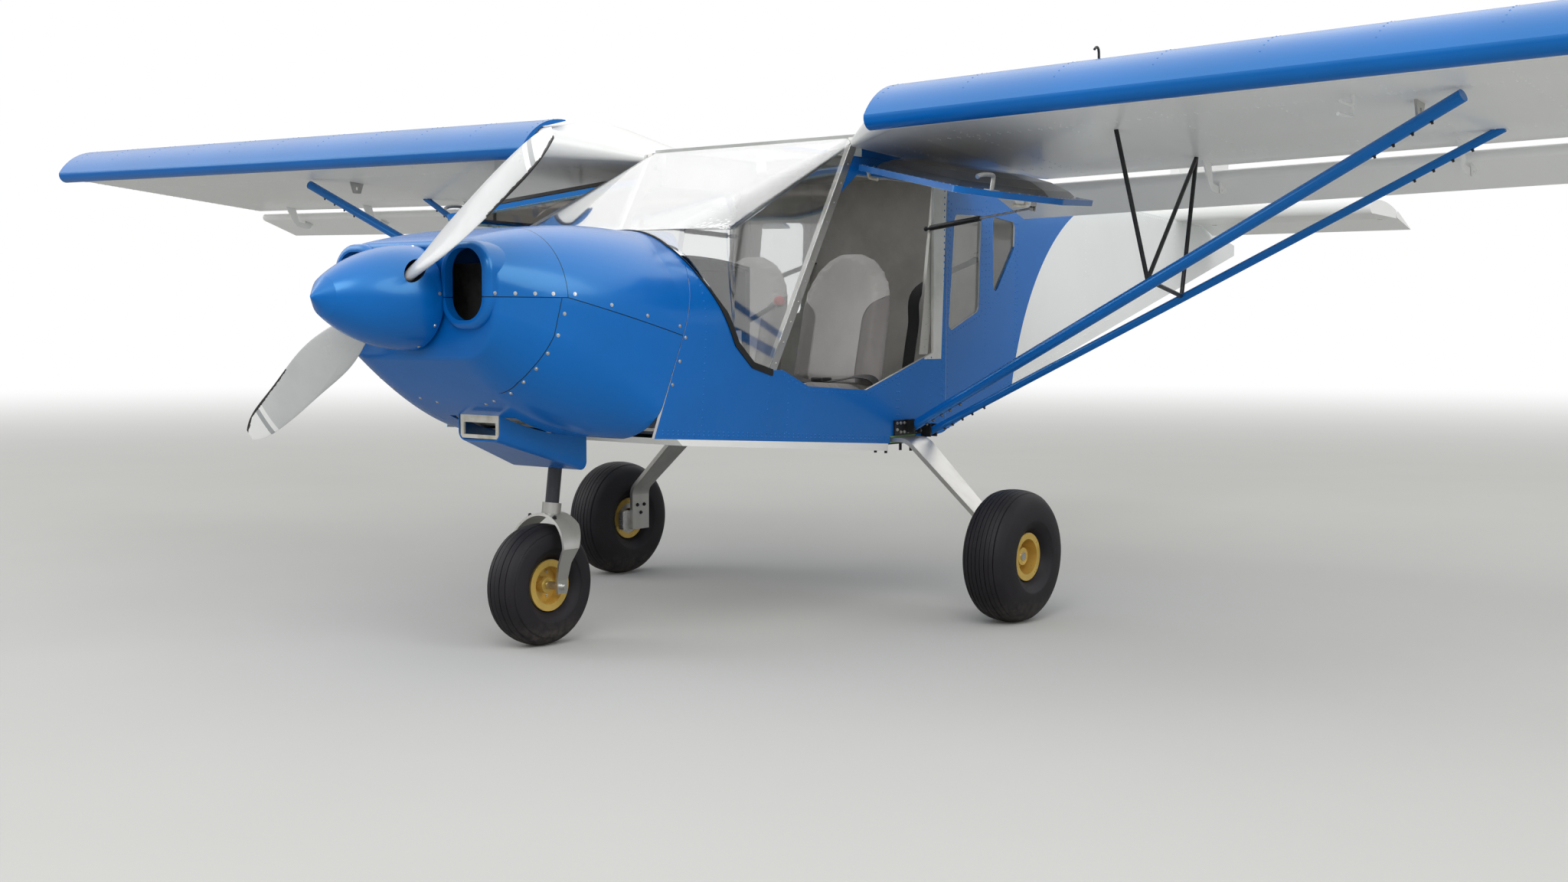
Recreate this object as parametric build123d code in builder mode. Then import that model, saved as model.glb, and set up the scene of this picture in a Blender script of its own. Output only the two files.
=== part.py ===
from build123d import *
from math import atan2, cos, degrees, hypot, radians, sin, tan
import os

os.makedirs("parts", exist_ok=True)

# Driving dimensions, millimetres. Stations run aft from the tip of the spinner.
LENGTH = 6650.0
HALF_SPAN = 4545.0
DIHEDRAL = 1.19
HALF_CABIN = 535.0
SKIN = 12.0
COWL_SKIN = 8.0
FRONT_ROUND = 24.0
GLASS = 5.0
SEAM = 1.0
FIT = 0.05
CLEAR = 6.0

THRUST_Z = 1228.0
SPINNER_LENGTH = 392.0
SPINNER_RADIUS = 172.0
BLADE_STATION = 302.0
PROPELLER_RADIUS = 906.0
BLADE_LEAN = 31.85

COWL_FRONT = 406.0
COWL_SEAM = 650.0
SIDE_SEAM_BOTTOM = (986.0, 757.0)
SIDE_SEAM_TOP = (1134.0, 1103.0)
SEAM_HEAD = (1238.0, 1346.0)
FIREWALL = 1150.0
DECK_END = 1235.0
DECK_TOP = 1475.0
DECK_RADIUS = 360.0
BODY_BOTTOM = 757.0
DOOR_REAR = 2750.0
CABIN_END = 3480.0
POST_FOOT = (1619.0, 975.0)
POST_HEAD = (2105.0, 1815.0)
ROOF_FRONT = 2150.0
ROOF_Z = 1872.0
SIDE_TOP = 1745.0

GEAR_STATION = 2450.0
GEAR_TRACK = 2104.0
SPRING_TOP = 692.0
SPRING_THICK = 17.0
MAIN_RADIUS = 255.0
MAIN_WIDTH = 206.0
RIM_RADIUS = 84.0
NOSE_STATION = 962.0
NOSE_RADIUS = 217.0
NOSE_WIDTH = 158.0
LEG_RADIUS = 25.0
LEG_RAKE = 7.6

WING_INBOARD = 880.0
STAB_HALF = 1245.0
DOOR_OPEN = 79.0


def aft(station):
    return station - LENGTH / 2


def section(station):
    return Plane(origin=(0, aft(station), 0), x_dir=(1, 0, 0), z_dir=(0, -1, 0))


def side_plane(x):
    return Plane(origin=(x, 0, 0), x_dir=(0, 1, 0), z_dir=(1, 0, 0))


def save(piece, name):
    piece.part.label = name
    export_step(piece.part, f"parts/{name}.step")


def save_mirrored(piece, name):
    with BuildPart() as copy:
        mirror(piece.part, about=Plane.YZ)
    save(copy, name)


def at(s, z):
    return (aft(s), z)


def side_face(points):
    """A closed outline given as station and height."""
    with BuildSketch() as outline:
        with BuildLine():
            Polyline(*[(aft(s), z) for s, z in points], close=True)
        make_face()
    return outline.sketch


def hood(half, top, bottom, top_radius, bottom_radius):
    """A body section with flat sides, a top rounded by top_radius and a bottom by bottom_radius."""
    with BuildSketch() as outline:
        with BuildLine():
            Line((half - top_radius, top), (top_radius - half, top))
            TangentArc((top_radius - half, top), (-half, top - top_radius), tangent=(-1, 0))
            Line((-half, top - top_radius), (-half, bottom + bottom_radius))
            TangentArc((-half, bottom + bottom_radius), (bottom_radius - half, bottom), tangent=(0, -1))
            Line((bottom_radius - half, bottom), (half - bottom_radius, bottom))
            TangentArc((half - bottom_radius, bottom), (half, bottom + bottom_radius), tangent=(1, 0))
            Line((half, bottom + bottom_radius), (half, top - top_radius))
            TangentArc((half, top - top_radius), (half - top_radius, top), tangent=(0, 1))
        make_face()
    return outline.sketch


# Cowling sections: station, half width, top, bottom, top radius, bottom radius.
COWL_SECTIONS = (
    (COWL_FRONT, 392.0, 1412.0, 1030.0, 140.0, 150.0),
    (COWL_SEAM, 474.0, 1459.0, 850.0, 250.0, 240.0),
    (SIDE_SEAM_TOP[0], HALF_CABIN, DECK_TOP, BODY_BOTTOM, DECK_RADIUS, 40.0),
)


def fore_body(inset):
    """The whole fore body up to the windshield, drawn in by inset."""
    with BuildPart() as body:
        for s, half, top, bottom, top_r, bottom_r in COWL_SECTIONS:
            start = s + inset if s == COWL_FRONT else s
            with BuildSketch(section(start)):
                add(hood(half - inset, top - inset, bottom + inset, top_r - inset, bottom_r - inset))
        loft()
        if inset == 0:
            front = body.faces().sort_by(Axis.Y)[0]
            fillet(front.edges(), radius=FRONT_ROUND)
    return body.part


def block(x, y, z):
    """A box from its limits along each axis, stations for y."""
    with BuildPart() as made:
        with BuildSketch(Plane.XY.offset(z[0])):
            with Locations(((x[0] + x[1]) / 2, aft((y[0] + y[1]) / 2))):
                Rectangle(x[1] - x[0], y[1] - y[0])
        extrude(amount=z[1] - z[0])
    return made.part


def point(x, s, z):
    return Vector(x, aft(s), z)


def tube(start, end, radius, over=0.0):
    """A round tube between two points, carried past its end by over."""
    way = end - start
    with BuildPart() as made:
        with BuildSketch(Plane(origin=start, z_dir=way)):
            Circle(radius)
        extrude(amount=way.length + over)
    return made.part


def across(points, half):
    """A side view outline carried across the aircraft to both sides."""
    with BuildPart() as made:
        with BuildSketch(side_plane(-half)):
            add(side_face(points))
        extrude(amount=2 * half)
    return made.part


# The windshield seal in side view, from the deck down to the foot of the windshield post
SEAL = ((DECK_END, 1421.0), (1290.0, 1304.0), (1348.0, 1206.0), (1418.0, 1072.0), (1506.0, 996.0), (1619.0, 966.0))

# Cowling
SIDE_SPLIT_Z = THRUST_Z
below_seam = [(COWL_SEAM, SIDE_SPLIT_Z), SIDE_SEAM_TOP, SIDE_SEAM_BOTTOM, (986.0, 0), (0, 0), (0, SIDE_SPLIT_Z)]
above_seam = [(COWL_SEAM, SIDE_SPLIT_Z + SEAM), (SIDE_SEAM_TOP[0], SIDE_SEAM_TOP[1] + SEAM),
              (SEAM_HEAD[0] - SEAM, SEAM_HEAD[1]), SEAL[1], SEAL[0], (DECK_END, 2000.0), (COWL_SEAM, 2000.0)]
upper_front = [(0, SIDE_SPLIT_Z + SEAM), (COWL_SEAM - SEAM, SIDE_SPLIT_Z + SEAM), (COWL_SEAM - SEAM, 2000.0), (0, 2000.0)]

INLET_X = 275.0
INLET_WIDTH = 176.0
INLET_Z = (1154.0, 1384.0)
INLET_LIP = 28.0
inlet_mid = (INLET_Z[0] + INLET_Z[1]) / 2
inlet_height = INLET_Z[1] - INLET_Z[0]

LIP_REACH = 24.0
LIP_ROUND = 20.0
LIP_CORNER = 102.0
# Where the cheeks round the inlets run out in the cowling's side: station, distance from the middle, height, width, height
CHEEK_END = (610.0, 268.0, 1258.0, 280.0, 270.0)
outer = fore_body(0)
inner = fore_body(COWL_SKIN)


def cheek(side):
    """The swelling round one inlet, from its lip back to where it runs out in the cowling."""
    with BuildPart() as made:
        with BuildSketch(section(COWL_FRONT - LIP_REACH)):
            with Locations((side * INLET_X, inlet_mid)):
                RectangleRounded(INLET_WIDTH + 2 * INLET_LIP, inlet_height + 2 * INLET_LIP, LIP_CORNER)
        with BuildSketch(section(CHEEK_END[0])):
            with Locations((side * CHEEK_END[1], CHEEK_END[2])):
                RectangleRounded(CHEEK_END[3], CHEEK_END[4], LIP_CORNER)
        loft()
        fillet(made.faces().sort_by(Axis.Y)[0].edges(), radius=LIP_ROUND)
        add(inner, mode=Mode.SUBTRACT)
    return made.part


with BuildPart() as cowl:
    add(outer)
    add(inner, mode=Mode.SUBTRACT)
    for side in (-1, 1):
        add(cheek(side))
    with BuildSketch(section(COWL_FRONT - 40)):
        with Locations((-INLET_X, inlet_mid), (INLET_X, inlet_mid)):
            RectangleRounded(INLET_WIDTH, inlet_height, 76)
        with Locations((0, THRUST_Z)):
            Circle(95)
    extrude(amount=-100, mode=Mode.SUBTRACT)
    with BuildSketch(section(COWL_FRONT - LIP_REACH - 10)):
        with Locations((0, THRUST_Z)):
            Circle(SPINNER_RADIUS + CLEAR)
    extrude(amount=-(LIP_REACH + 4), mode=Mode.SUBTRACT)
    add(block((-170, 170), (700, 1300), (600, 900)), mode=Mode.SUBTRACT)

with BuildPart() as deck:
    with BuildSketch(section(SIDE_SEAM_TOP[0])):
        add(hood(HALF_CABIN, DECK_TOP, 500, DECK_RADIUS, 40))
        add(hood(HALF_CABIN - SKIN, DECK_TOP - SKIN, 500 + SKIN, DECK_RADIUS - SKIN, 40 - SKIN), mode=Mode.SUBTRACT)
    extrude(amount=-(POST_FOOT[0] + 20 - SIDE_SEAM_TOP[0]))

for name, region in (("cowl_upper", upper_front), ("cowl_lower", below_seam), ("boot_cowl", above_seam)):
    with BuildPart() as panel:
        add(cowl.part)
        if name == "boot_cowl":
            add(deck.part)
        add(across(region, 700), mode=Mode.INTERSECT)
    save(panel, name)

# Engine, one plain block on four mount tubes, with the bore for the propeller shaft
ENGINE_X = 270.0
ENGINE_STATIONS = (500.0, 1000.0)
ENGINE_Z = (1000.0, 1340.0)
SHAFT_RADIUS = 45.0
MOUNT_RADIUS = 11.0
MOUNT_X = 220.0
MOUNT_Z = (1050.0, 1290.0)
GEARBOX_FRONT = 445.0
GEARBOX_RADIUS = 82.0
with BuildPart() as engine:
    add(block((-ENGINE_X, ENGINE_X), ENGINE_STATIONS, ENGINE_Z))
    with BuildSketch(section(GEARBOX_FRONT)):
        with Locations((0, THRUST_Z)):
            Circle(GEARBOX_RADIUS)
    extrude(amount=-(ENGINE_STATIONS[0] - GEARBOX_FRONT))
    with BuildSketch(section(GEARBOX_FRONT)):
        with Locations((0, THRUST_Z)):
            Circle(SHAFT_RADIUS + FIT)
    extrude(amount=-110, mode=Mode.SUBTRACT)
    with BuildSketch(section(ENGINE_STATIONS[1])):
        with Locations(*[(side * MOUNT_X, z) for side in (-1, 1) for z in MOUNT_Z]):
            Circle(MOUNT_RADIUS)
    extrude(amount=-(FIREWALL - ENGINE_STATIONS[1]))
save(engine, "engine")

# Firewall with the two bearings that hold the steered nose leg
lean = radians(LEG_RAKE)
LEG_FOOT = (1021.0, 478.0)
LEG_TOP_Z = 985.0
BEARING_Z = (790.0, 930.0)
BEARING_THICK = 24.0
FIREWALL_THICK = 6.0


def leg_station(z):
    return LEG_FOOT[0] + (z - LEG_FOOT[1]) * tan(lean)


def along_leg(z):
    """A plane across the nose leg at height z, its normal up the leg."""
    return Plane(origin=(0, aft(leg_station(z)), z), x_dir=(1, 0, 0), z_dir=(0, sin(lean), cos(lean)))


with BuildPart() as firewall:
    with BuildSketch(section(FIREWALL)):
        add(hood(HALF_CABIN - SKIN, DECK_TOP - SKIN, BODY_BOTTOM + 22, DECK_RADIUS - SKIN, 10))
    extrude(amount=-FIREWALL_THICK)
    for z in BEARING_Z:
        reach = FIREWALL - leg_station(z) + 10
        with BuildSketch(along_leg(z)):
            Circle(LEG_RADIUS + 14)
            with Locations((0, reach / 2)):
                Rectangle(2 * LEG_RADIUS + 28, reach)
        extrude(amount=BEARING_THICK)
    add(block((-100, 100), (FIREWALL + FIREWALL_THICK, FIREWALL + 200), (700, 1100)), mode=Mode.SUBTRACT)
    with BuildSketch(along_leg(700)):
        Circle(LEG_RADIUS + FIT)
    extrude(amount=400, mode=Mode.SUBTRACT)
save(firewall, "firewall")

# Cabin sides. The seal runs from the deck down to the foot of the windshield post.
BOTTOM = ((986.0, 757.0), (2365.0, 668.0))
SILL = ((1680.0, 975.0), (1830.0, 911.0), (2198.0, 886.0), (2666.0, 1027.0))
POST_AHEAD = 20.0
POST_BEHIND = 22.0
REAR_POST_FOOT = (2640.0, 1020.0)
REAR_POST_HEAD = (2752.0, SIDE_TOP)
REAR_POST_WIDTH = 62.0
GEAR_SLOT = 88.0
KINK = (2732.0, 694.0)


def bottom_z(station):
    """Height of the lower edge of the cabin sides."""
    share = (station - BOTTOM[0][0]) / (BOTTOM[1][0] - BOTTOM[0][0])
    return BOTTOM[0][1] + share * (BOTTOM[1][1] - BOTTOM[0][1])


def post_station(z):
    """Station of the windshield post's middle line at a height."""
    return POST_FOOT[0] + (z - POST_FOOT[1]) * (POST_HEAD[0] - POST_FOOT[0]) / (POST_HEAD[1] - POST_FOOT[1])


def post_edge(z):
    """A point just behind the windshield post."""
    return (post_station(z) + POST_BEHIND + SEAM, z)


slot_front = GEAR_STATION - GEAR_SLOT
slot_rear = GEAR_STATION + GEAR_SLOT
slot_z = SPRING_TOP + 8
side_outline = [
    (SIDE_SEAM_BOTTOM[0] + SEAM, SIDE_SEAM_BOTTOM[1]), (slot_front, bottom_z(slot_front)), (slot_front, slot_z),
    (slot_rear, slot_z), (slot_rear, 672.0), KINK, (DOOR_REAR + 6, KINK[1] + 6),
    (DOOR_REAR + 6, SIDE_TOP + 40), post_edge(SIDE_TOP + 40), post_edge(SIDE_TOP - 105), (2130.0, SIDE_TOP - 30),
    (2660.0, SIDE_TOP - 30),
    SILL[3], SILL[2], SILL[1], SILL[0], POST_FOOT, *SEAL[:1:-1],
    (SEAL[1][0], SEAL[1][1] - 2 * SEAM), (SEAM_HEAD[0], SEAM_HEAD[1] - 2 * SEAM),
    (SIDE_SEAM_TOP[0] + SEAM, SIDE_SEAM_TOP[1]),
]
with BuildPart() as side_plate:
    with BuildSketch(side_plane(HALF_CABIN - SKIN)):
        add(side_face(side_outline))
    extrude(amount=SKIN)
    add(block((0, 700), (900, POST_FOOT[0]), (DECK_TOP - DECK_RADIUS, 1600)), mode=Mode.SUBTRACT)
with BuildPart() as shoulder:
    add(deck.part)
    add(across(side_outline, 700), mode=Mode.INTERSECT)
    add(block((0, 700), (900, POST_FOOT[0]), (DECK_TOP - DECK_RADIUS, 1600)), mode=Mode.INTERSECT)
with BuildPart() as cabin_side:
    add(side_plate.part)
    add(shoulder.part)
save(cabin_side, "cabin_side_left")
save_mirrored(cabin_side, "cabin_side_right")

# Deck behind the boot cowl is trimmed where the glass stands, so the seal line is one curve
FLOOR_FRONT_Z = 768.0
FLOOR_REAR_Z = 716.0
FLOOR_THICK = 10.0


def floor_top(station):
    return FLOOR_FRONT_Z + (station - FIREWALL) * (FLOOR_REAR_Z - FLOOR_FRONT_Z) / (DOOR_REAR - FIREWALL)


floor_line = ((FIREWALL + FIREWALL_THICK, DOOR_REAR), (DOOR_REAR, FIREWALL + FIREWALL_THICK))
with BuildPart() as floor:
    with BuildSketch(side_plane(SKIN - HALF_CABIN)):
        add(side_face([(s, floor_top(s)) for s in floor_line[0]] + [(s, floor_top(s) - FLOOR_THICK) for s in floor_line[1]]))
    extrude(amount=2 * (HALF_CABIN - SKIN))
save(floor, "cabin_floor")

BELLY_DEPTH = 28.0
with BuildPart() as belly:
    with BuildSketch(side_plane(-HALF_CABIN)):
        add(side_face([(1100.0, bottom_z(1100.0)), (slot_front - 14, bottom_z(slot_front - 14)),
                       (slot_front - 14, bottom_z(slot_front) - BELLY_DEPTH), (1130.0, bottom_z(1130) - BELLY_DEPTH + 6)]))
    extrude(amount=2 * HALF_CABIN)
save(belly, "belly_pan")

# Windshield: a flat front leaning back between two rounded corners, its sides upright down to the seal
BASE_Z = DECK_TOP
ROOF_THICK = 16.0
BASE_RADIUS = 170.0
TOP_RADIUS = 40.0


def bow(front, rear, radius, inset):
    """The windshield in plan: open behind, rounded at both front corners."""
    half = HALF_CABIN - inset
    y0, y1, r = aft(front + inset), aft(rear), radius - inset
    with BuildSketch() as plan:
        with BuildLine():
            Line((half - r, y0), (r - half, y0))
            TangentArc((r - half, y0), (-half, y0 + r), tangent=(-1, 0))
            Line((-half, y0 + r), (-half, y1))
            Line((-half, y1), (half, y1))
            Line((half, y1), (half, y0 + r))
            TangentArc((half, y0 + r), (half - r, y0), tangent=(0, -1))
        make_face()
    return plan.sketch


def glasshouse(inset):
    with BuildPart() as body:
        with BuildSketch(Plane.XY.offset(BASE_Z)):
            add(bow(DECK_END, 2400.0, BASE_RADIUS, inset))
        with BuildSketch(Plane.XY.offset(ROOF_Z)):
            add(bow(ROOF_FRONT, 2400.0, TOP_RADIUS, inset))
        loft(ruled=True)
        with BuildSketch(Plane.XY.offset(BASE_Z)):
            add(bow(DECK_END, 2400.0, BASE_RADIUS, inset))
        extrude(amount=-560)
    return body.part


def post_line(offset):
    """The windshield post from its foot to the roof, moved aft by offset."""
    return [(post_station(z) + offset, z) for z in (POST_FOOT[1], ROOF_Z - ROOF_THICK)]


glass_region = [*SEAL, *post_line(-POST_AHEAD), (ROOF_FRONT, ROOF_Z), (ROOF_FRONT, 1900.0), (DECK_END - 60, 1900.0),
                (DECK_END - 60, SEAL[0][1])]
glass_outer = glasshouse(0)
with BuildPart() as windshield:
    add(glass_outer)
    add(glasshouse(GLASS), mode=Mode.SUBTRACT)
    add(across(glass_region, 700), mode=Mode.INTERSECT)
save(windshield, "windshield")

# Door hinges and the gas struts that hold the doors open
DOOR_HINGE = (552.0, 1742.0)
DOOR_PIN = 5.0
DOOR_LUG = 20.0
HINGE_STATIONS = (2200.0, 2600.0)
STUD_RADIUS = 4.0
BALL_RADIUS = 6.0
STRUT_PIVOT = point(511.0, 2641.0, 1530.0)

# Windshield posts: strips along the slanting rear edge of the glass, with a foot and a head
with BuildPart() as posts:
    with BuildSketch(side_plane(HALF_CABIN - 24)):
        add(side_face([*post_line(-POST_AHEAD), *post_line(POST_BEHIND)[::-1]]))
    extrude(amount=24)
    add(windshield.part, mode=Mode.SUBTRACT)
    with BuildSketch(side_plane(HALF_CABIN - 26)):
        add(side_face([REAR_POST_FOOT, REAR_POST_HEAD, (REAR_POST_HEAD[0] - REAR_POST_WIDTH, REAR_POST_HEAD[1]),
                       (REAR_POST_FOOT[0] - REAR_POST_WIDTH, REAR_POST_FOOT[1])]))
    extrude(amount=14)
    for s in HINGE_STATIONS:
        add(block((HALF_CABIN, DOOR_HINGE[0] + DOOR_PIN), (s, s + DOOR_LUG), (DOOR_HINGE[1] - 7, DOOR_HINGE[1] + 7)))
        add(tube(point(DOOR_HINGE[0], s, DOOR_HINGE[1]), point(DOOR_HINGE[0], s + 2 * DOOR_LUG + 2 * SEAM, DOOR_HINGE[1]), DOOR_PIN))
    add(tube(STRUT_PIVOT, STRUT_PIVOT + Vector(0, 22, 0), STUD_RADIUS))
    with BuildSketch(Plane(origin=STRUT_PIVOT, x_dir=(0, 1, 0), z_dir=(1, 0, 0))):
        with BuildLine():
            Line((-BALL_RADIUS, 0), (BALL_RADIUS, 0))
            ThreePointArc((BALL_RADIUS, 0), (0, BALL_RADIUS), (-BALL_RADIUS, 0))
        make_face()
    revolve(axis=Axis(STRUT_PIVOT, (0, 1, 0)))
    mirror(about=Plane.YZ)
save(posts, "cabin_posts")

# Roof frame with two skylights, side walls down to the cabin sides and a fairing behind
ROOF_START = ROOF_FRONT + SEAM
ROOF_RAIL = 40.0
ROOF_EDGE = 90.0
ROOF_WALL = 27.0
FAIRING_END = 3060.0
SKYLIGHT = (ROOF_START + ROOF_EDGE, DOOR_REAR - 60)
REAR_FRONT = DOOR_REAR + 8
REAR_SHOULDER = SIDE_TOP + 75
REAR_HALF = HALF_CABIN - (CABIN_END - DOOR_REAR) * 0.144
REAR_TOP = 1775.0
RAIL_START = post_station(ROOF_Z) + POST_BEHIND + SEAM
rear_slope = (REAR_TOP - REAR_SHOULDER) / (CABIN_END - REAR_FRONT)
with BuildPart() as roof:
    add(block((-HALF_CABIN, HALF_CABIN), (ROOF_START, REAR_FRONT), (ROOF_Z - ROOF_THICK, ROOF_Z)))
    add(across([(REAR_FRONT, ROOF_Z), (FAIRING_END, REAR_SHOULDER + SEAM + (FAIRING_END - REAR_FRONT) * rear_slope + 4),
                (FAIRING_END, REAR_SHOULDER + SEAM + (FAIRING_END - REAR_FRONT) * rear_slope),
                (REAR_FRONT, REAR_SHOULDER + SEAM)], REAR_HALF))
    for side in (-1, 1):
        x0, x1 = sorted((side * (HALF_CABIN - 2 * ROOF_WALL), side * (HALF_CABIN - ROOF_WALL)))
        add(block((x0, x1), (RAIL_START, REAR_FRONT), (SIDE_TOP - 30, ROOF_Z)))
        x0, x1 = sorted((side * (HALF_CABIN - 2 * ROOF_WALL), side * HALF_CABIN))
        add(block((x0, x1), (RAIL_START, REAR_FRONT), (SIDE_TOP + 40 + SEAM / 2, ROOF_Z)))
    for side in (-1, 1):
        x0, x1 = sorted((side * ROOF_RAIL, side * (HALF_CABIN - ROOF_EDGE)))
        add(block((x0, x1), SKYLIGHT, (ROOF_Z - 40, ROOF_Z + 10)), mode=Mode.SUBTRACT)
save(roof, "roof_frame")

# Rear cabin: sides that draw in towards the tail, with two windows each, closed by a bulkhead
TAIL_END = LENGTH
TAIL_HALF = 32.0
TAIL_TOP = 1612.0
TAIL_BOTTOM = 1552.0
REAR_BOTTOM = 871.0
QUARTER_FRONT = ((2834.0, 1597.0), (2778.0, 1108.0), (3080.0, 1199.0), (3098.0, 1608.0))
QUARTER_REAR = ((3222.0, 1608.0), (3231.0, 1249.0), (3455.0, 1477.0), (3462.0, 1595.0))


def rear_shell(inset, front, rear):
    """The body aft of the doors as a box that draws in, from station front to rear."""
    with BuildPart() as body:
        for s, half, top, bottom in ((front, HALF_CABIN, REAR_SHOULDER, KINK[1] + 10), (rear, REAR_HALF, REAR_TOP, REAR_BOTTOM)):
            with BuildSketch(section(s)):
                with Locations((0, (top + bottom) / 2)):
                    Rectangle(2 * (half - inset), top - bottom - 2 * inset)
        loft(ruled=True)
    return body.part


with BuildPart() as rear_box:
    add(rear_shell(0, REAR_FRONT, CABIN_END))
    add(rear_shell(SKIN, REAR_FRONT - 1, CABIN_END + 1), mode=Mode.SUBTRACT)
with BuildPart() as quarter_cut:
    with BuildSketch(side_plane(250)):
        add(side_face(QUARTER_FRONT))
    extrude(amount=400)
    with BuildSketch(side_plane(250)):
        add(side_face(QUARTER_REAR))
    extrude(amount=400)
    fillet(quarter_cut.edges().filter_by(Axis.X), radius=28)
with BuildPart() as rear_cabin:
    add(rear_box.part)
    add(quarter_cut.part, mode=Mode.SUBTRACT)
    mirror(quarter_cut.part, about=Plane.YZ, mode=Mode.SUBTRACT)
save(rear_cabin, "rear_cabin")

with BuildPart() as windows:
    add(rear_box.part)
    add(quarter_cut.part, mode=Mode.INTERSECT)
    add(rear_shell(SKIN - GLASS, REAR_FRONT - 1, CABIN_END + 1), mode=Mode.INTERSECT)
    add(block((ROOF_RAIL + SEAM / 2, HALF_CABIN - ROOF_EDGE - SEAM / 2), (SKYLIGHT[0] + SEAM / 2, SKYLIGHT[1] - SEAM / 2),
              (ROOF_Z - GLASS - 4, ROOF_Z - 4)))
    mirror(about=Plane.YZ)
save(windows, "cabin_windows")

BULKHEAD = 3130.0
with BuildPart() as bulkhead:
    add(rear_shell(SKIN, REAR_FRONT - 1, CABIN_END + 1))
    add(block((-600, 600), (BULKHEAD, BULKHEAD + 8), (500, 2000)), mode=Mode.INTERSECT)
save(bulkhead, "rear_bulkhead")

# Tail cone
TAIL_SHOULDER = (6060.0, 1700.0)
shoulder_half = REAR_HALF + (TAIL_HALF - REAR_HALF) * (TAIL_SHOULDER[0] - CABIN_END) / (TAIL_END - CABIN_END)
shoulder_bottom = REAR_BOTTOM + (TAIL_BOTTOM - REAR_BOTTOM) * (TAIL_SHOULDER[0] - CABIN_END) / (TAIL_END - CABIN_END)
with BuildPart() as tail_cone:
    for s, half, top, bottom in (
        (CABIN_END, REAR_HALF, REAR_TOP, REAR_BOTTOM),
        (TAIL_SHOULDER[0], shoulder_half, TAIL_SHOULDER[1], shoulder_bottom),
        (TAIL_END, TAIL_HALF, TAIL_TOP, TAIL_BOTTOM),
    ):
        with BuildSketch(section(s)):
            with Locations((0, (top + bottom) / 2)):
                Rectangle(2 * half, top - bottom)
    loft(ruled=True)
save(tail_cone, "tail_cone")


def rise(x):
    """Change of height from the wing tip inwards, from the dihedral."""
    return (abs(x) - HALF_SPAN) * tan(radians(DIHEDRAL))


def wing_plane(x):
    return Plane(origin=(x, 0, rise(x)), x_dir=(0, 1, 0), z_dir=(1, 0, 0))


def spanwise(profile, x0, x1):
    """A profile carried along the wing from x0 to x1 with its dihedral."""
    with BuildPart() as made:
        for x in (x0, x1):
            with BuildSketch(wing_plane(x)):
                add(profile)
        loft(ruled=True)
    return made.part


def wing_profile(nose, low, front_top, crest, back_top, middle, tail_top, tail_low):
    with BuildSketch() as outline:
        with BuildLine():
            Line(at(*tail_low), at(*low))
            ThreePointArc(at(*low), at(*nose), at(*front_top))
            ThreePointArc(at(*front_top), at(*crest), at(*back_top))
            ThreePointArc(at(*back_top), at(*middle), at(*tail_top))
            Line(at(*tail_top), at(*tail_low))
        make_face()
    return outline.sketch


# Wing section at the tip: nose, lower front, upper front, crest, upper back, middle back, trailing edge
WING_LOW = (1871.0, 1915.0)
WING_TAIL = (2972.0, 1810.0)
main_section = wing_profile((1790, 1975), WING_LOW, (1880, 2038), (2170, 2086), (2450, 2050), (2720, 1950), (2972, 1822), WING_TAIL)
root_section = wing_profile((2084, 1835), (2100, 1818), (2104, 1850), (2200, 1866), (2450, 1860), (2720, 1830), (2960, 1790), (2960, 1768))
WING_ROOT = HALF_CABIN + 4
WING_TIP = HALF_SPAN - 15
with BuildPart() as wing:
    add(spanwise(main_section, WING_INBOARD, WING_TIP))
    with BuildSketch(wing_plane(WING_INBOARD)):
        add(main_section)
    with BuildSketch(side_plane(WING_ROOT)):
        add(root_section)
    loft(ruled=True)
save(wing, "wing_left")
save_mirrored(wing, "wing_right")


def underside(s, x):
    """Height of the wing's lower skin at a station and a distance from the middle."""
    return WING_LOW[1] + (s - WING_LOW[0]) * (WING_TAIL[1] - WING_LOW[1]) / (WING_TAIL[0] - WING_LOW[0]) + rise(x)


# Fixed slat on its brackets
with BuildSketch() as slat_outline:
    with BuildLine():
        Line(at(1758, 1905), at(1776, 1908))
        ThreePointArc(at(1776, 1908), at(1768, 1985), at(1850, 2050))
        Line(at(1850, 2050), at(1958, 2078))
        Line(at(1958, 2078), at(1956, 2082))
        ThreePointArc(at(1956, 2082), at(1800, 2046), at(1708, 1955))
        ThreePointArc(at(1708, 1955), at(1716, 1920), at(1758, 1905))
    make_face()
SLAT_BRACKET_INBOARD = WING_INBOARD + 60
SLAT_BRACKET_TIP = HALF_SPAN - 105
SLAT_BRACKET_COUNT = 6
slat_pitch = (SLAT_BRACKET_TIP - SLAT_BRACKET_INBOARD) / (SLAT_BRACKET_COUNT - 1)
with BuildPart() as slat:
    add(spanwise(slat_outline.sketch, WING_INBOARD - 6, HALF_SPAN))
    for i in range(SLAT_BRACKET_COUNT):
        with BuildSketch(wing_plane(SLAT_BRACKET_INBOARD + i * slat_pitch)):
            add(side_face([(1755, 1945), (1840, 1935), (1900, 2050), (1850, 2056), (1780, 2014)]))
        extrude(amount=4)
    add(wing.part, mode=Mode.SUBTRACT)
save(slat, "slat_left")
save_mirrored(slat, "slat_right")

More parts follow.
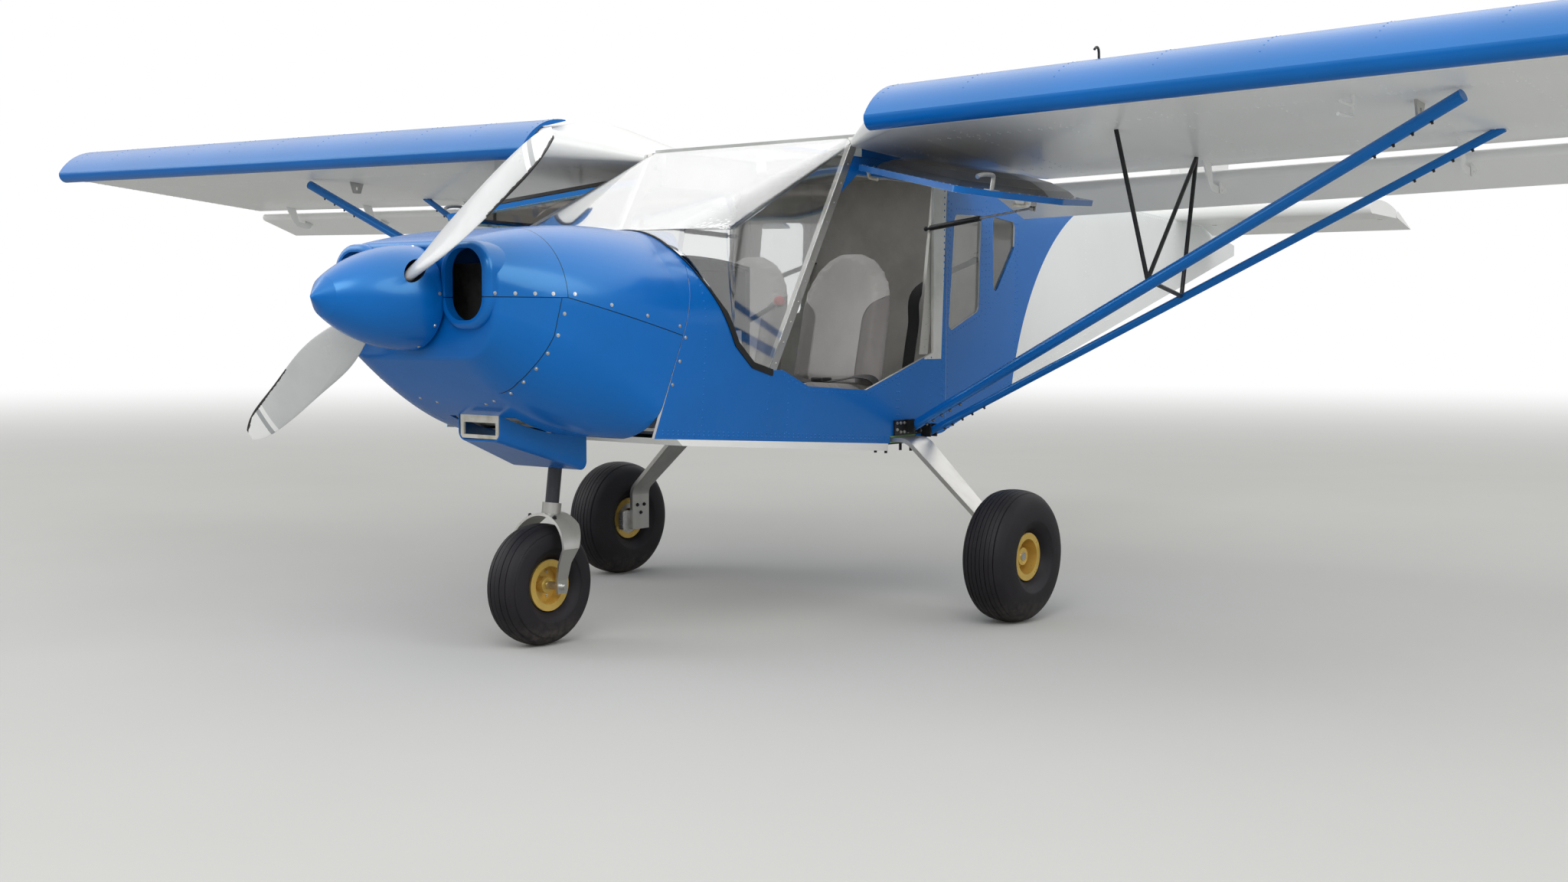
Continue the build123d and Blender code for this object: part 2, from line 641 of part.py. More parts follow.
# Flaperon, hung on pins below the wing's trailing edge
HINGE = (3004.0, 1716.0)
FLAP_BRACKETS = (760.0, 1620.0, 2560.0, 3400.0, HALF_SPAN - 445)
FLAP_INBOARD = 640.0
FLAP_TIP = HALF_SPAN - 60
PIN_RADIUS = 5.0
LUG = 6.0
with BuildSketch() as flap_outline:
    with BuildLine():
        ThreePointArc(at(2988, 1790), at(2959, 1776), at(2972, 1752))
        Line(at(2972, 1752), at(3193, 1672))
        Line(at(3193, 1672), at(3193, 1677))
        Line(at(3193, 1677), at(2988, 1790))
    make_face()


def hinge_pin(x, length, radius):
    """A pin on the flaperon's hinge line, outward from x."""
    start, end = point(x, HINGE[0], HINGE[1] + rise(x)), point(x + length, HINGE[0], HINGE[1] + rise(x + length))
    return tube(start, end, radius)


with BuildPart() as flaperon:
    add(spanwise(flap_outline.sketch, FLAP_INBOARD, FLAP_TIP))
    for x in FLAP_BRACKETS:
        with BuildSketch(wing_plane(x + LUG + 1)):
            add(side_face([(HINGE[0] - 14, HINGE[1] - 10), (HINGE[0] + 14, HINGE[1] - 12), (3050, 1735), (3000, 1760), (2980, 1755)]))
        extrude(amount=LUG)
        add(hinge_pin(x, 4 * LUG, PIN_RADIUS + FIT), mode=Mode.SUBTRACT)
save(flaperon, "flaperon_left")
save_mirrored(flaperon, "flaperon_right")

# A bracket arm passes ahead of the flaperon's nose and below it to the hinge, given from the hinge's middle
BRACKET = ((-170, 134), (-100, 134), (-66, 24), (-12, 15), (12, 10), (10, -13), (-16, -14), (-80, -4), (-104, 20))
with BuildPart() as flap_brackets:
    for x in FLAP_BRACKETS:
        with BuildSketch(wing_plane(x)):
            add(side_face([(HINGE[0] + ds, HINGE[1] + dz) for ds, dz in BRACKET]))
        extrude(amount=LUG)
        add(hinge_pin(x, 2 * LUG + 4, PIN_RADIUS))
    add(wing.part, mode=Mode.SUBTRACT)
    mirror(about=Plane.YZ)
save(flap_brackets, "flaperon_brackets")


# Lift struts and the fittings at their feet
FRONT_STRUT = (point(560, 2490, 735), point(2771, 2091, 1806), 21.0)
REAR_STRUT = (point(560, 2606, 705), point(2693, 2750, 1772), 15.0)
FITTING_THICK = 10.0
with BuildPart() as fittings:
    with BuildSketch(side_plane(HALF_CABIN)):
        add(side_face([(2382, 760), (2520, 760), (2640, 724), (2640, 700), (2545, 700), (2382, 700)]))
    extrude(amount=FITTING_THICK)
    for s, z in ((2490, 735), (2606, 712)):
        add(block((HALF_CABIN, HALF_CABIN + 44), (s - 26, s - 18), (z - 26, z + 26)))
        add(block((HALF_CABIN, HALF_CABIN + 44), (s + 18, s + 26), (z - 26, z + 26)))
    mirror(about=Plane.YZ)
save(fittings, "gear_fittings")

with BuildPart() as struts:
    for foot, head, radius in (FRONT_STRUT, REAR_STRUT):
        add(tube(foot, head, radius, 60))
    add(wing.part, mode=Mode.SUBTRACT)
    add(fittings.part, mode=Mode.SUBTRACT)
    add(block((0, HALF_CABIN + FITTING_THICK), (2300, 2800), (500, 1000)), mode=Mode.SUBTRACT)
    mirror(about=Plane.YZ)
save(struts, "lift_struts")

# Tie-down plates below the wings, beside the front strut's head
TIE_X = 2640.0
TIE_STATION = 2230.0
TIE_THICK = 8.0
TIE_BORE = 9.0
with BuildPart() as tie_downs:
    low = underside(TIE_STATION, TIE_X)
    with BuildSketch(side_plane(TIE_X)):
        add(side_face([(TIE_STATION - 50, low + 30), (TIE_STATION - 22, low - 52), (TIE_STATION + 22, low - 52), (TIE_STATION + 50, low + 30)]))
        with Locations(at(TIE_STATION, low - 28)):
            Circle(TIE_BORE, mode=Mode.SUBTRACT)
    extrude(amount=TIE_THICK)
    add(wing.part, mode=Mode.SUBTRACT)
    mirror(about=Plane.YZ)
save(tie_downs, "tie_downs")

JURY_RADIUS = 8.0
JURY_FRONT = point(1692, 2280, 1300)
JURY_REAR = point(1630, 2675, 1248)
WING_FRONT_LUG = point(1600, 2207, underside(2207, 1600))
WING_REAR_LUG = point(1625, 2790, underside(2790, 1625))
with BuildPart() as jury:
    for start, end in ((JURY_FRONT, WING_FRONT_LUG), (JURY_FRONT, WING_REAR_LUG), (JURY_REAR, WING_REAR_LUG), (JURY_FRONT, JURY_REAR)):
        add(tube(start, end, JURY_RADIUS))
    add(wing.part, mode=Mode.SUBTRACT)
    add(struts.part, mode=Mode.SUBTRACT)
    mirror(about=Plane.YZ)
save(jury, "jury_struts")

# Main gear: one aluminium spring from wheel to wheel, wide at the body and narrow at the wheels
SPRING_FOOT_X = 920.0
AXLE_FLANGE = 12.0
AXLE_RADIUS = 16.0
spring_mid = SPRING_TOP - SPRING_THICK / 2
half_path = [(0, spring_mid), (602, spring_mid), (SPRING_FOOT_X, 395.0), (SPRING_FOOT_X, 212.0)]
spring_points = [(-x, z) for x, z in half_path[:0:-1]] + half_path[1:]
gear_plane = Plane(origin=(0, aft(GEAR_STATION), 0), x_dir=(1, 0, 0), z_dir=(0, -1, 0))
with BuildPart() as spring:
    with BuildLine(gear_plane) as spring_path:
        FilletPolyline(*spring_points, radius=[60, 80, 80, 60])
    start = spring_path.line @ 0
    with BuildSketch(Plane(origin=start, x_dir=(0, 1, 0), z_dir=spring_path.line % 0)):
        Rectangle(180, SPRING_THICK)
    sweep()
    with BuildSketch(Plane.XY):
        with BuildLine():
            half_plan = [(0, 78), (560, 78), (SPRING_FOOT_X + 20, 52)]
            right = [(x, aft(GEAR_STATION) + y) for x, y in half_plan]
            left = [(-x, aft(GEAR_STATION) + y) for x, y in half_plan[:0:-1]]
            lower = [(x, 2 * aft(GEAR_STATION) - y) for x, y in right[::-1] + left[::-1]]
            Polyline(*left, *right, *lower, close=True)
        make_face()
    extrude(amount=1000, mode=Mode.INTERSECT)
save(spring, "main_spring")

MAIN_HUB = 46.0
WHEEL_X = GEAR_TRACK / 2
spring_face = SPRING_FOOT_X + SPRING_THICK / 2


def wheel_plane(x, station, z):
    return Plane(origin=(x, aft(station), z), x_dir=(0, 1, 0), z_dir=(1, 0, 0))


with BuildPart() as axles:
    with BuildSketch(wheel_plane(spring_face, GEAR_STATION, MAIN_RADIUS)):
        RectangleRounded(92, 92, 12)
    extrude(amount=AXLE_FLANGE)
    with BuildSketch(wheel_plane(spring_face, GEAR_STATION, MAIN_RADIUS)):
        Circle(AXLE_RADIUS)
    extrude(amount=WHEEL_X + MAIN_HUB + 4 - spring_face)
    with BuildSketch(wheel_plane(spring_face, GEAR_STATION, MAIN_RADIUS)):
        with Locations((-72, 0)):
            RectangleRounded(54, 86, 10)
        with Locations((-45, 0)):
            Rectangle(30, 50)
    extrude(amount=AXLE_FLANGE + 14)
    mirror(about=Plane.YZ)
save(axles, "main_axles")


def rim_profile(radius, width, hub_half, hub_radius, bore, web):
    """Half section of a two-piece rim: hub, dished web and flanged barrel."""
    return [(-hub_half, bore), (hub_half, bore), (hub_half, hub_radius), (web, hub_radius), (web, radius - 16),
            (width / 2 - 8, radius - 16), (width / 2 - 8, radius + 8), (width / 2 - 16, radius + 8), (width / 2 - 16, radius),
            (16 - width / 2, radius), (16 - width / 2, radius + 8), (8 - width / 2, radius + 8), (8 - width / 2, radius - 16),
            (-web, radius - 16), (-web, hub_radius), (-hub_half, hub_radius)]


def turned(points, x, station, z):
    """A ring turned about a wheel's axle from points given as distance along it and radius."""
    with BuildPart() as made:
        with BuildSketch(Plane(origin=(x, aft(station), z), x_dir=(1, 0, 0), z_dir=(0, -1, 0))):
            with BuildLine():
                Polyline(*points, close=True)
            make_face()
        revolve(axis=Axis((x, aft(station), z), (1, 0, 0)))
    return made.part


def tyre(x, station, radius, width, rim_radius, rim_width):
    """A fat low-pressure tyre with a rounded tread and a bead that seats in the rim."""
    half = width / 2
    bead = rim_width / 2 - 16 - 0.3
    shoulder = radius - half * 0.62
    with BuildPart() as made:
        with BuildSketch(Plane(origin=(x, aft(station), radius), x_dir=(1, 0, 0), z_dir=(0, -1, 0))):
            with BuildLine():
                Line((-bead, rim_radius + 0.3), (bead, rim_radius + 0.3))
                Line((bead, rim_radius + 0.3), (bead, rim_radius + 12))
                ThreePointArc((bead, rim_radius + 12), (half * 0.975, (rim_radius + 12 + shoulder) / 2), (half * 0.9, shoulder + 14))
                ThreePointArc((half * 0.9, shoulder + 14), (half * 0.72, radius - 20), (half * 0.45, radius - 5))
                ThreePointArc((half * 0.45, radius - 5), (0, radius), (-half * 0.45, radius - 5))
                ThreePointArc((-half * 0.45, radius - 5), (-half * 0.72, radius - 20), (-half * 0.9, shoulder + 14))
                ThreePointArc((-half * 0.9, shoulder + 14), (-half * 0.975, (rim_radius + 12 + shoulder) / 2), (-bead, rim_radius + 12))
                Line((-bead, rim_radius + 12), (-bead, rim_radius + 0.3))
            make_face()
        revolve(axis=Axis((x, aft(station), radius), (1, 0, 0)))
    return made


MAIN_RIM_WIDTH = 150.0
with BuildPart() as main_rim:
    add(turned(rim_profile(RIM_RADIUS, MAIN_RIM_WIDTH, MAIN_HUB, 34, AXLE_RADIUS + FIT, 6), WHEEL_X, GEAR_STATION, MAIN_RADIUS))
save(main_rim, "main_rim_left")
save_mirrored(main_rim, "main_rim_right")
main_tyre = tyre(WHEEL_X, GEAR_STATION, MAIN_RADIUS, MAIN_WIDTH, RIM_RADIUS, MAIN_RIM_WIDTH)
save(main_tyre, "main_tyre_left")
save_mirrored(main_tyre, "main_tyre_right")

# Nose gear: leg tube, arched strap fork, axle, rim and tyre
NOSE_HUB = 40.0
NOSE_AXLE = 10.0
NOSE_RIM_WIDTH = 118.0
FORK_X = 106.0
FORK_THICK = 9.0
FORK_TOP = 470.0
TOW_PIN = 16.0
EAR = 24.0
with BuildPart() as nose_leg:
    with BuildSketch(along_leg(FORK_TOP + 12)):
        Circle(LEG_RADIUS)
    extrude(amount=(LEG_TOP_Z - FORK_TOP - 12) / cos(lean))
    with BuildSketch(along_leg(FORK_TOP + 12)):
        Circle(LEG_RADIUS - 3)
    extrude(amount=(LEG_TOP_Z - FORK_TOP - 12) / cos(lean), mode=Mode.SUBTRACT)
save(nose_leg, "nose_leg")

fork_plane = Plane(origin=(0, aft(NOSE_STATION), NOSE_RADIUS), x_dir=(1, 0, 0), z_dir=(0, -1, 0))
crown = FORK_TOP - NOSE_RADIUS
with BuildPart() as nose_fork:
    with BuildSketch(fork_plane):
        with BuildLine():
            outer_half = FORK_X + FORK_THICK
            Line((-FORK_X, -24), (-outer_half, -24))
            Line((-outer_half, -24), (-outer_half, EAR))
            Line((-outer_half, EAR), (-outer_half - 26, crown - 118))
            ThreePointArc((-outer_half - 26, crown - 118), (0, crown), (outer_half + 26, crown - 118))
            Line((outer_half + 26, crown - 118), (outer_half, EAR))
            Line((outer_half, EAR), (outer_half, -24))
            Line((outer_half, -24), (FORK_X, -24))
            Line((FORK_X, -24), (FORK_X, EAR))
            Line((FORK_X, EAR), (FORK_X + 26, crown - 118))
            ThreePointArc((FORK_X + 26, crown - 118), (0, crown - FORK_THICK), (-FORK_X - 26, crown - 118))
            Line((-FORK_X - 26, crown - 118), (-FORK_X, EAR))
            Line((-FORK_X, EAR), (-FORK_X, -24))
        make_face()
    extrude(amount=100, both=True)
    with BuildSketch(side_plane(-300)):
        add(side_face([(NOSE_STATION - 22, 190), (NOSE_STATION + 22, 190), (NOSE_STATION + 30, 300), (1060, 430), (1060, 500),
                       (975, 500), (960, 430), (NOSE_STATION - 28, 300)]))
    extrude(amount=600, mode=Mode.INTERSECT)
    with BuildSketch(along_leg(FORK_TOP - 6)):
        Circle(LEG_RADIUS + 9)
    extrude(amount=40)
    with BuildSketch(along_leg(FORK_TOP + 12)):
        Circle(LEG_RADIUS)
    extrude(amount=60, mode=Mode.SUBTRACT)
    add(tyre(0, NOSE_STATION, NOSE_RADIUS + 6, NOSE_WIDTH + 12, RIM_RADIUS, NOSE_RIM_WIDTH).part, mode=Mode.SUBTRACT)
save(nose_fork, "nose_fork")

with BuildPart() as nose_axle:
    with BuildSketch(wheel_plane(-FORK_X, NOSE_STATION, NOSE_RADIUS)):
        Circle(NOSE_AXLE)
    extrude(amount=2 * FORK_X)
    for side in (-1, 1):
        with BuildSketch(wheel_plane(side * (FORK_X + FORK_THICK), NOSE_STATION, NOSE_RADIUS)):
            Circle(NOSE_AXLE)
        extrude(amount=side * TOW_PIN)
    for side in (-1, 1):
        x = side * (NOSE_HUB + 6)
        with BuildSketch(wheel_plane(x, NOSE_STATION, NOSE_RADIUS)):
            Circle(NOSE_AXLE + 5)
        extrude(amount=side * (FORK_X - NOSE_HUB - 6))
    add(nose_fork.part, mode=Mode.SUBTRACT)
save(nose_axle, "nose_axle")

with BuildPart() as nose_rim:
    add(turned(rim_profile(RIM_RADIUS, NOSE_RIM_WIDTH, NOSE_HUB, 28, NOSE_AXLE + FIT, 6), 0, NOSE_STATION, NOSE_RADIUS))
save(nose_rim, "nose_rim")
save(tyre(0, NOSE_STATION, NOSE_RADIUS, NOSE_WIDTH, RIM_RADIUS, NOSE_RIM_WIDTH), "nose_tyre")

# Propeller: spinner, hub with shaft, and two twisted blades
SPINNER_WALL = 4.0
HUB_RADIUS = 62.0
SPINNER_PROFILE = ((0.0, 0.0), (52.0, 64.0), (190.0, 137.0), (SPINNER_LENGTH, SPINNER_RADIUS))


def turned_forward(points):
    with BuildPart() as made:
        with BuildSketch(Plane(origin=(0, 0, THRUST_Z), x_dir=(0, 1, 0), z_dir=(1, 0, 0))):
            with BuildLine():
                Line((aft(0), 0), (aft(points[-1][0]), 0))
                Line((aft(points[-1][0]), 0), (aft(points[-1][0]), points[-1][1]))
                ThreePointArc(*[(aft(s), r) for s, r in (points[-1], points[-2], points[-3])])
                Line((aft(points[-3][0]), points[-3][1]), (aft(0), 0))
            make_face()
        revolve(axis=Axis((0, 0, THRUST_Z), (0, 1, 0)))
    return made.part


blade_way = Vector(cos(radians(BLADE_LEAN)), 0, sin(radians(BLADE_LEAN)))
# Blade sections: distance out, chord, thickness, pitch in degrees from the disc
BLADES = ((70.0, 52.0, 44.0, 60.0), (175.0, 98.0, 36.0, 48.0), (330.0, 150.0, 22.0, 33.0), (620.0, 138.0, 14.0, 21.0),
          (830.0, 100.0, 8.0, 16.0), (PROPELLER_RADIUS, 44.0, 4.0, 14.0))
SLOT_PITCH = 50.0
SLOT_HALF = (56.0, 30.0)


def chord_way(side, pitch):
    """The direction of a blade's chord at a pitch."""
    edge = Vector(-sin(radians(BLADE_LEAN)), 0, cos(radians(BLADE_LEAN))) * side
    return edge * cos(radians(pitch)) + Vector(0, 1, 0) * sin(radians(pitch))


def blade(side):
    way = blade_way * side
    with BuildPart() as made:
        for out, chord, thick, pitch in BLADES:
            origin = Vector(0, aft(BLADE_STATION), THRUST_Z) + way * out
            with BuildSketch(Plane(origin=origin, x_dir=chord_way(side, pitch), z_dir=way)):
                Ellipse(chord / 2, thick / 2)
        loft()
    return made.part


with BuildPart() as blades:
    with BuildSketch(section(BLADE_STATION - 50)):
        with Locations((0, THRUST_Z)):
            Circle(HUB_RADIUS)
    extrude(amount=-100)
    for side in (-1, 1):
        add(tube(Vector(0, aft(BLADE_STATION), THRUST_Z), Vector(0, aft(BLADE_STATION), THRUST_Z) + blade_way * side * 80, 26))
        add(blade(side))
save(blades, "propeller_blades")

with BuildPart() as spinner:
    add(turned_forward(SPINNER_PROFILE))
    add(turned_forward([(s + (8 if s == 0 else 0), max(r - SPINNER_WALL, 0)) for s, r in SPINNER_PROFILE[:1]]
                       + [(60.0, 56.0), (190.0, 132.6), (SPINNER_LENGTH - 5, SPINNER_RADIUS - SPINNER_WALL)]), mode=Mode.SUBTRACT)
    for side in (-1, 1):
        origin = Vector(0, aft(BLADE_STATION), THRUST_Z) + blade_way * side * 110
        with BuildSketch(Plane(origin=origin, x_dir=chord_way(side, SLOT_PITCH), z_dir=blade_way * side)):
            Ellipse(*SLOT_HALF)
        extrude(amount=110, mode=Mode.SUBTRACT)
    with BuildSketch(section(SPINNER_LENGTH - 6)):
        with Locations((0, THRUST_Z)):
            Circle(SHAFT_RADIUS + 4)
    extrude(amount=-10, mode=Mode.SUBTRACT)
save(spinner, "spinner")

with BuildPart() as shaft:
    with BuildSketch(section(BLADE_STATION + 50)):
        with Locations((0, THRUST_Z)):
            Circle(SHAFT_RADIUS)
    extrude(amount=-(GEARBOX_FRONT + 100 - BLADE_STATION - 50))
    with BuildSketch(section(SPINNER_LENGTH - 25)):
        with Locations((0, THRUST_Z)):
            Circle(120)
    extrude(amount=-20)
save(shaft, "propeller_shaft")

# Black rubber seal along the foot of the windshield
SEAL_HALF = 12.0
SEAL_THICK = 4.0
SEAL_LIFT = 0.3


def ribbon(points, half):
    """The outline of a strip along a line of points in side view."""
    upper, lower = [], []
    for i, (s, z) in enumerate(points):
        s0, z0 = points[max(i - 1, 0)]
        s1, z1 = points[min(i + 1, len(points) - 1)]
        length = hypot(s1 - s0, z1 - z0)
        ds, dz = -(z1 - z0) / length * half, (s1 - s0) / length * half
        upper.append((s + ds, z + dz))
        lower.append((s - ds, z - dz))
    return upper + lower[::-1]


with BuildPart() as seal_shell:
    with BuildSketch(section(DECK_END - SEAL_HALF)):
        add(hood(HALF_CABIN + SEAL_THICK, DECK_TOP + SEAL_THICK, 500, DECK_RADIUS + SEAL_THICK, 20))
        add(hood(HALF_CABIN + SEAL_LIFT, DECK_TOP + SEAL_LIFT, 480, DECK_RADIUS + SEAL_LIFT, 20), mode=Mode.SUBTRACT)
    extrude(amount=-(SEAL[-1][0] + SEAL_HALF - DECK_END))
with BuildPart() as seal:
    add(seal_shell.part)
    add(across([*ribbon([(DECK_END, DECK_TOP + 20), *SEAL], SEAL_HALF)], 700), mode=Mode.INTERSECT)
    add(glass_outer, mode=Mode.SUBTRACT)
save(seal, "windshield_seal")

# Scoop below the cowling, open ahead and behind
SCOOP_WALL = 6.0
# Station, half width, top, bottom
SCOOP_ENDS = ((685.0, 106.0, 862.0, 742.0), (1000.0, 200.0, 800.0, 632.0))


def scoop_body(inset):
    with BuildPart() as made:
        for s, half, top, bottom in SCOOP_ENDS:
            with BuildSketch(section(s)):
                with Locations((0, (top + bottom) / 2)):
                    RectangleRounded(2 * (half - inset), top - bottom - 2 * inset, 32 - inset)
        loft(ruled=True)
    return made.part


with BuildPart() as scoop:
    add(scoop_body(0))
    add(scoop_body(SCOOP_WALL), mode=Mode.SUBTRACT)
    add(outer, mode=Mode.SUBTRACT)
save(scoop, "scoop")

# Clamps that hold the gear spring to the body: pad above, plate below, four bolts each
CLAMP_X = (452.0, HALF_CABIN - SKIN)
CLAMP_REACH = 96.0
BOLT_REACH = 87.0
PAD = 12.0
with BuildPart() as clamps:
    high = floor_top(GEAR_STATION + CLAMP_REACH) - FLOOR_THICK
    add(block(CLAMP_X, (GEAR_STATION - CLAMP_REACH, GEAR_STATION + CLAMP_REACH), (SPRING_TOP, high)))
    low = SPRING_TOP - SPRING_THICK
    add(block(CLAMP_X, (GEAR_STATION - CLAMP_REACH, GEAR_STATION + CLAMP_REACH), (low - PAD, low)))
    for reach in (-BOLT_REACH, BOLT_REACH):
        for x in (CLAMP_X[0] + 10, CLAMP_X[1] - 10):
            with BuildSketch(Plane.XY.offset(low - PAD - 34)):
                with Locations((x, aft(GEAR_STATION + reach))):
                    Circle(6)
            extrude(amount=34 + PAD + SPRING_THICK + high - SPRING_TOP)
    mirror(about=Plane.YZ)
save(clamps, "gear_clamps")

# Tail surfaces: fixed stabiliser, drooped elevator in two halves on one tube, all-moving rudder
STAB_FRONT = 5603.0
STAB_REAR = 5980.0
ELEVATOR_HINGE = (6004.0, 1722.0)
ELEVATOR_NOSE = 18.0
ELEVATOR_TRAIL = (6205.0, 1654.0)
TUBE_RADIUS = 9.0
TAIL_GAP = 12.0


def cone_half(station):
    return REAR_HALF + (TAIL_HALF - REAR_HALF) * (station - CABIN_END) / (TAIL_END - CABIN_END)


def cone_top(station):
    """Height of the tail cone's upper face ahead of its shoulder."""
    return REAR_TOP + (TAIL_SHOULDER[1] - REAR_TOP) * (station - CABIN_END) / (TAIL_SHOULDER[0] - CABIN_END)


with BuildPart() as stabiliser:
    with BuildSketch(side_plane(-STAB_HALF)):
        with BuildLine():
            Line(at(STAB_REAR, cone_top(STAB_REAR)), at(STAB_FRONT + 42, cone_top(STAB_FRONT + 42)))
            ThreePointArc(at(STAB_FRONT + 42, cone_top(STAB_FRONT + 42)), at(STAB_FRONT, 1748), at(STAB_FRONT + 47, 1780))
            ThreePointArc(at(STAB_FRONT + 47, 1780), at(STAB_FRONT + 200, 1782), at(STAB_REAR, 1742))
            Line(at(STAB_REAR, 1742), at(STAB_REAR, cone_top(STAB_REAR)))
        make_face()
    extrude(amount=2 * STAB_HALF)
    for x in (-STAB_HALF + 100, -200, 200, STAB_HALF - 100):
        with BuildSketch(side_plane(x - 8)):
            add(side_face([(STAB_REAR - 30, 1738), (STAB_REAR - 30, 1706), (ELEVATOR_HINGE[0] + 9, 1713), (ELEVATOR_HINGE[0] + 9, 1731)]))
        extrude(amount=16)
    with BuildSketch(side_plane(-STAB_HALF)):
        with Locations(at(*ELEVATOR_HINGE)):
            Circle(TUBE_RADIUS + FIT)
    extrude(amount=2 * STAB_HALF, mode=Mode.SUBTRACT)
    add(tail_cone.part, mode=Mode.SUBTRACT)
save(stabiliser, "stabiliser")

hinge_x, hinge_z = at(*ELEVATOR_HINGE)
with BuildPart() as elevator:
    with BuildSketch(side_plane(-STAB_HALF)):
        with BuildLine():
            ThreePointArc((hinge_x + 6, hinge_z + 17), (hinge_x - ELEVATOR_NOSE, hinge_z + 2), (hinge_x - 4, hinge_z - 17.5))
            Line((hinge_x - 4, hinge_z - 17.5), at(ELEVATOR_TRAIL[0], ELEVATOR_TRAIL[1] - 2))
            Line(at(ELEVATOR_TRAIL[0], ELEVATOR_TRAIL[1] - 2), at(*ELEVATOR_TRAIL))
            Line(at(*ELEVATOR_TRAIL), (hinge_x + 6, hinge_z + 17))
        make_face()
    extrude(amount=2 * STAB_HALF)
    with BuildSketch(Plane.XY.offset(1500)):
        with BuildLine():
            reach = [(cone_half(s) + TAIL_GAP, aft(s)) for s in (STAB_REAR, 6260.0)]
            Polyline(*reach, *[(-x, y) for x, y in reach[::-1]], close=True)
        make_face()
    extrude(amount=400, mode=Mode.SUBTRACT)
    for x in (-STAB_HALF + 100, -200, 200, STAB_HALF - 100):
        add(block((x - 14, x + 14), (STAB_REAR, ELEVATOR_HINGE[0] + 16), (1600, 1800)), mode=Mode.SUBTRACT)
    with BuildSketch(side_plane(-STAB_HALF + 1)):
        with Locations(at(*ELEVATOR_HINGE)):
            Circle(TUBE_RADIUS)
    extrude(amount=2 * STAB_HALF - 2)
save(elevator, "elevator")

RUDDER_PIVOT = 6080.0
SPINDLE_RADIUS = 14.0
SPINDLE_TOP = 1960.0
RUDDER_OUTLINE = ((5872.0, 1806.0), (6100.0, 1762.0), (6400.0, 1692.0), (6618.0, 1642.0), (6600.0, 2560.0), (6590.0, 2640.0),
                  (6120.0, 2640.0), (6010.0, 2590.0))
# Rudder sections in plan: station, half thickness
RUDDER_PLAN = ((5850.0, 4.0), (5905.0, 27.0), (6010.0, 38.0), (6120.0, 38.0), (6640.0, 2.0))
with BuildPart() as rudder:
    with BuildSketch(Plane.XY.offset(1600)):
        with BuildLine():
            Polyline(*[(t, aft(s)) for s, t in RUDDER_PLAN], *[(-t, aft(s)) for s, t in RUDDER_PLAN[::-1]], close=True)
        make_face()
    extrude(amount=1100)
    with BuildSketch(side_plane(-60)):
        add(side_face(RUDDER_OUTLINE))
    extrude(amount=120, mode=Mode.INTERSECT)
    with BuildSketch(Plane.XY.offset(1600)):
        with Locations((0, aft(RUDDER_PIVOT))):
            Circle(SPINDLE_RADIUS + FIT)
    extrude(amount=SPINDLE_TOP + CLEAR - 1600, mode=Mode.SUBTRACT)
save(rudder, "rudder")

with BuildPart() as spindle:
    with BuildSketch(Plane.XY.offset(cone_top(TAIL_SHOULDER[0]) - 40)):
        with Locations((0, aft(RUDDER_PIVOT))):
            Circle(SPINDLE_RADIUS)
    extrude(amount=SPINDLE_TOP - cone_top(TAIL_SHOULDER[0]) + 40)
    add(tail_cone.part, mode=Mode.SUBTRACT)
save(spindle, "rudder_spindle")

# Doors hang on pins along the top of the opening. They stand open, so each is drawn in its own plane,
# by station and distance from the hinge, with the plane's normal outward.
DOOR_THICK = 22.0
DOOR_FRAME = 45.0
DOOR_TOP = 14.0
DOOR_CORNER = 34.0
DOOR_EDGE = ((2090.0, DOOR_TOP), (2757.0, DOOR_TOP), (2680.0, 717.0), (2198.0, 862.0), (1830.0, 837.0), (1650.0, 767.0))
swing = radians(DOOR_OPEN)
door_out = Vector(cos(swing), 0, sin(swing))
door_away = Vector(sin(swing), 0, -cos(swing))


def door_plane(offset):
    """The open door's plane moved outward by offset."""
    origin = Vector(DOOR_HINGE[0], 0, DOOR_HINGE[1]) + door_out * offset
    return Plane(origin=origin, x_dir=(0, 1, 0), z_dir=door_out)


def door_face(points, radius):
    """An outline in the door's plane with rounded corners."""
    with BuildSketch() as outline:
        with BuildLine():
            Polyline(*[(aft(s), -away) for s, away in points], close=True)
        make_face()
        fillet(outline.vertices(), radius=radius)
    return outline.sketch


def drawn_in(points, amount):
    """The corners of a convex outline moved inward by amount."""
    made = []
    for i, (x, y) in enumerate(points):
        x0, y0 = points[i - 1]
        x2, y2 = points[(i + 1) % len(points)]
        before, after = hypot(x - x0, y - y0), hypot(x2 - x, y2 - y)
        ax, ay, bx, by = (x - x0) / before, (y - y0) / before, (x2 - x) / after, (y2 - y) / after
        share = amount / (1 + ax * bx + ay * by)
        made.append((x - (ay + by) * share, y + (ax + bx) * share))
    return made


def shrunk(points, share):
    """An outline scaled about the middle of the pane."""
    return [(PANE_MIDDLE[0] + (x - PANE_MIDDLE[0]) * share, PANE_MIDDLE[1] + (y - PANE_MIDDLE[1]) * share) for x, y in points]


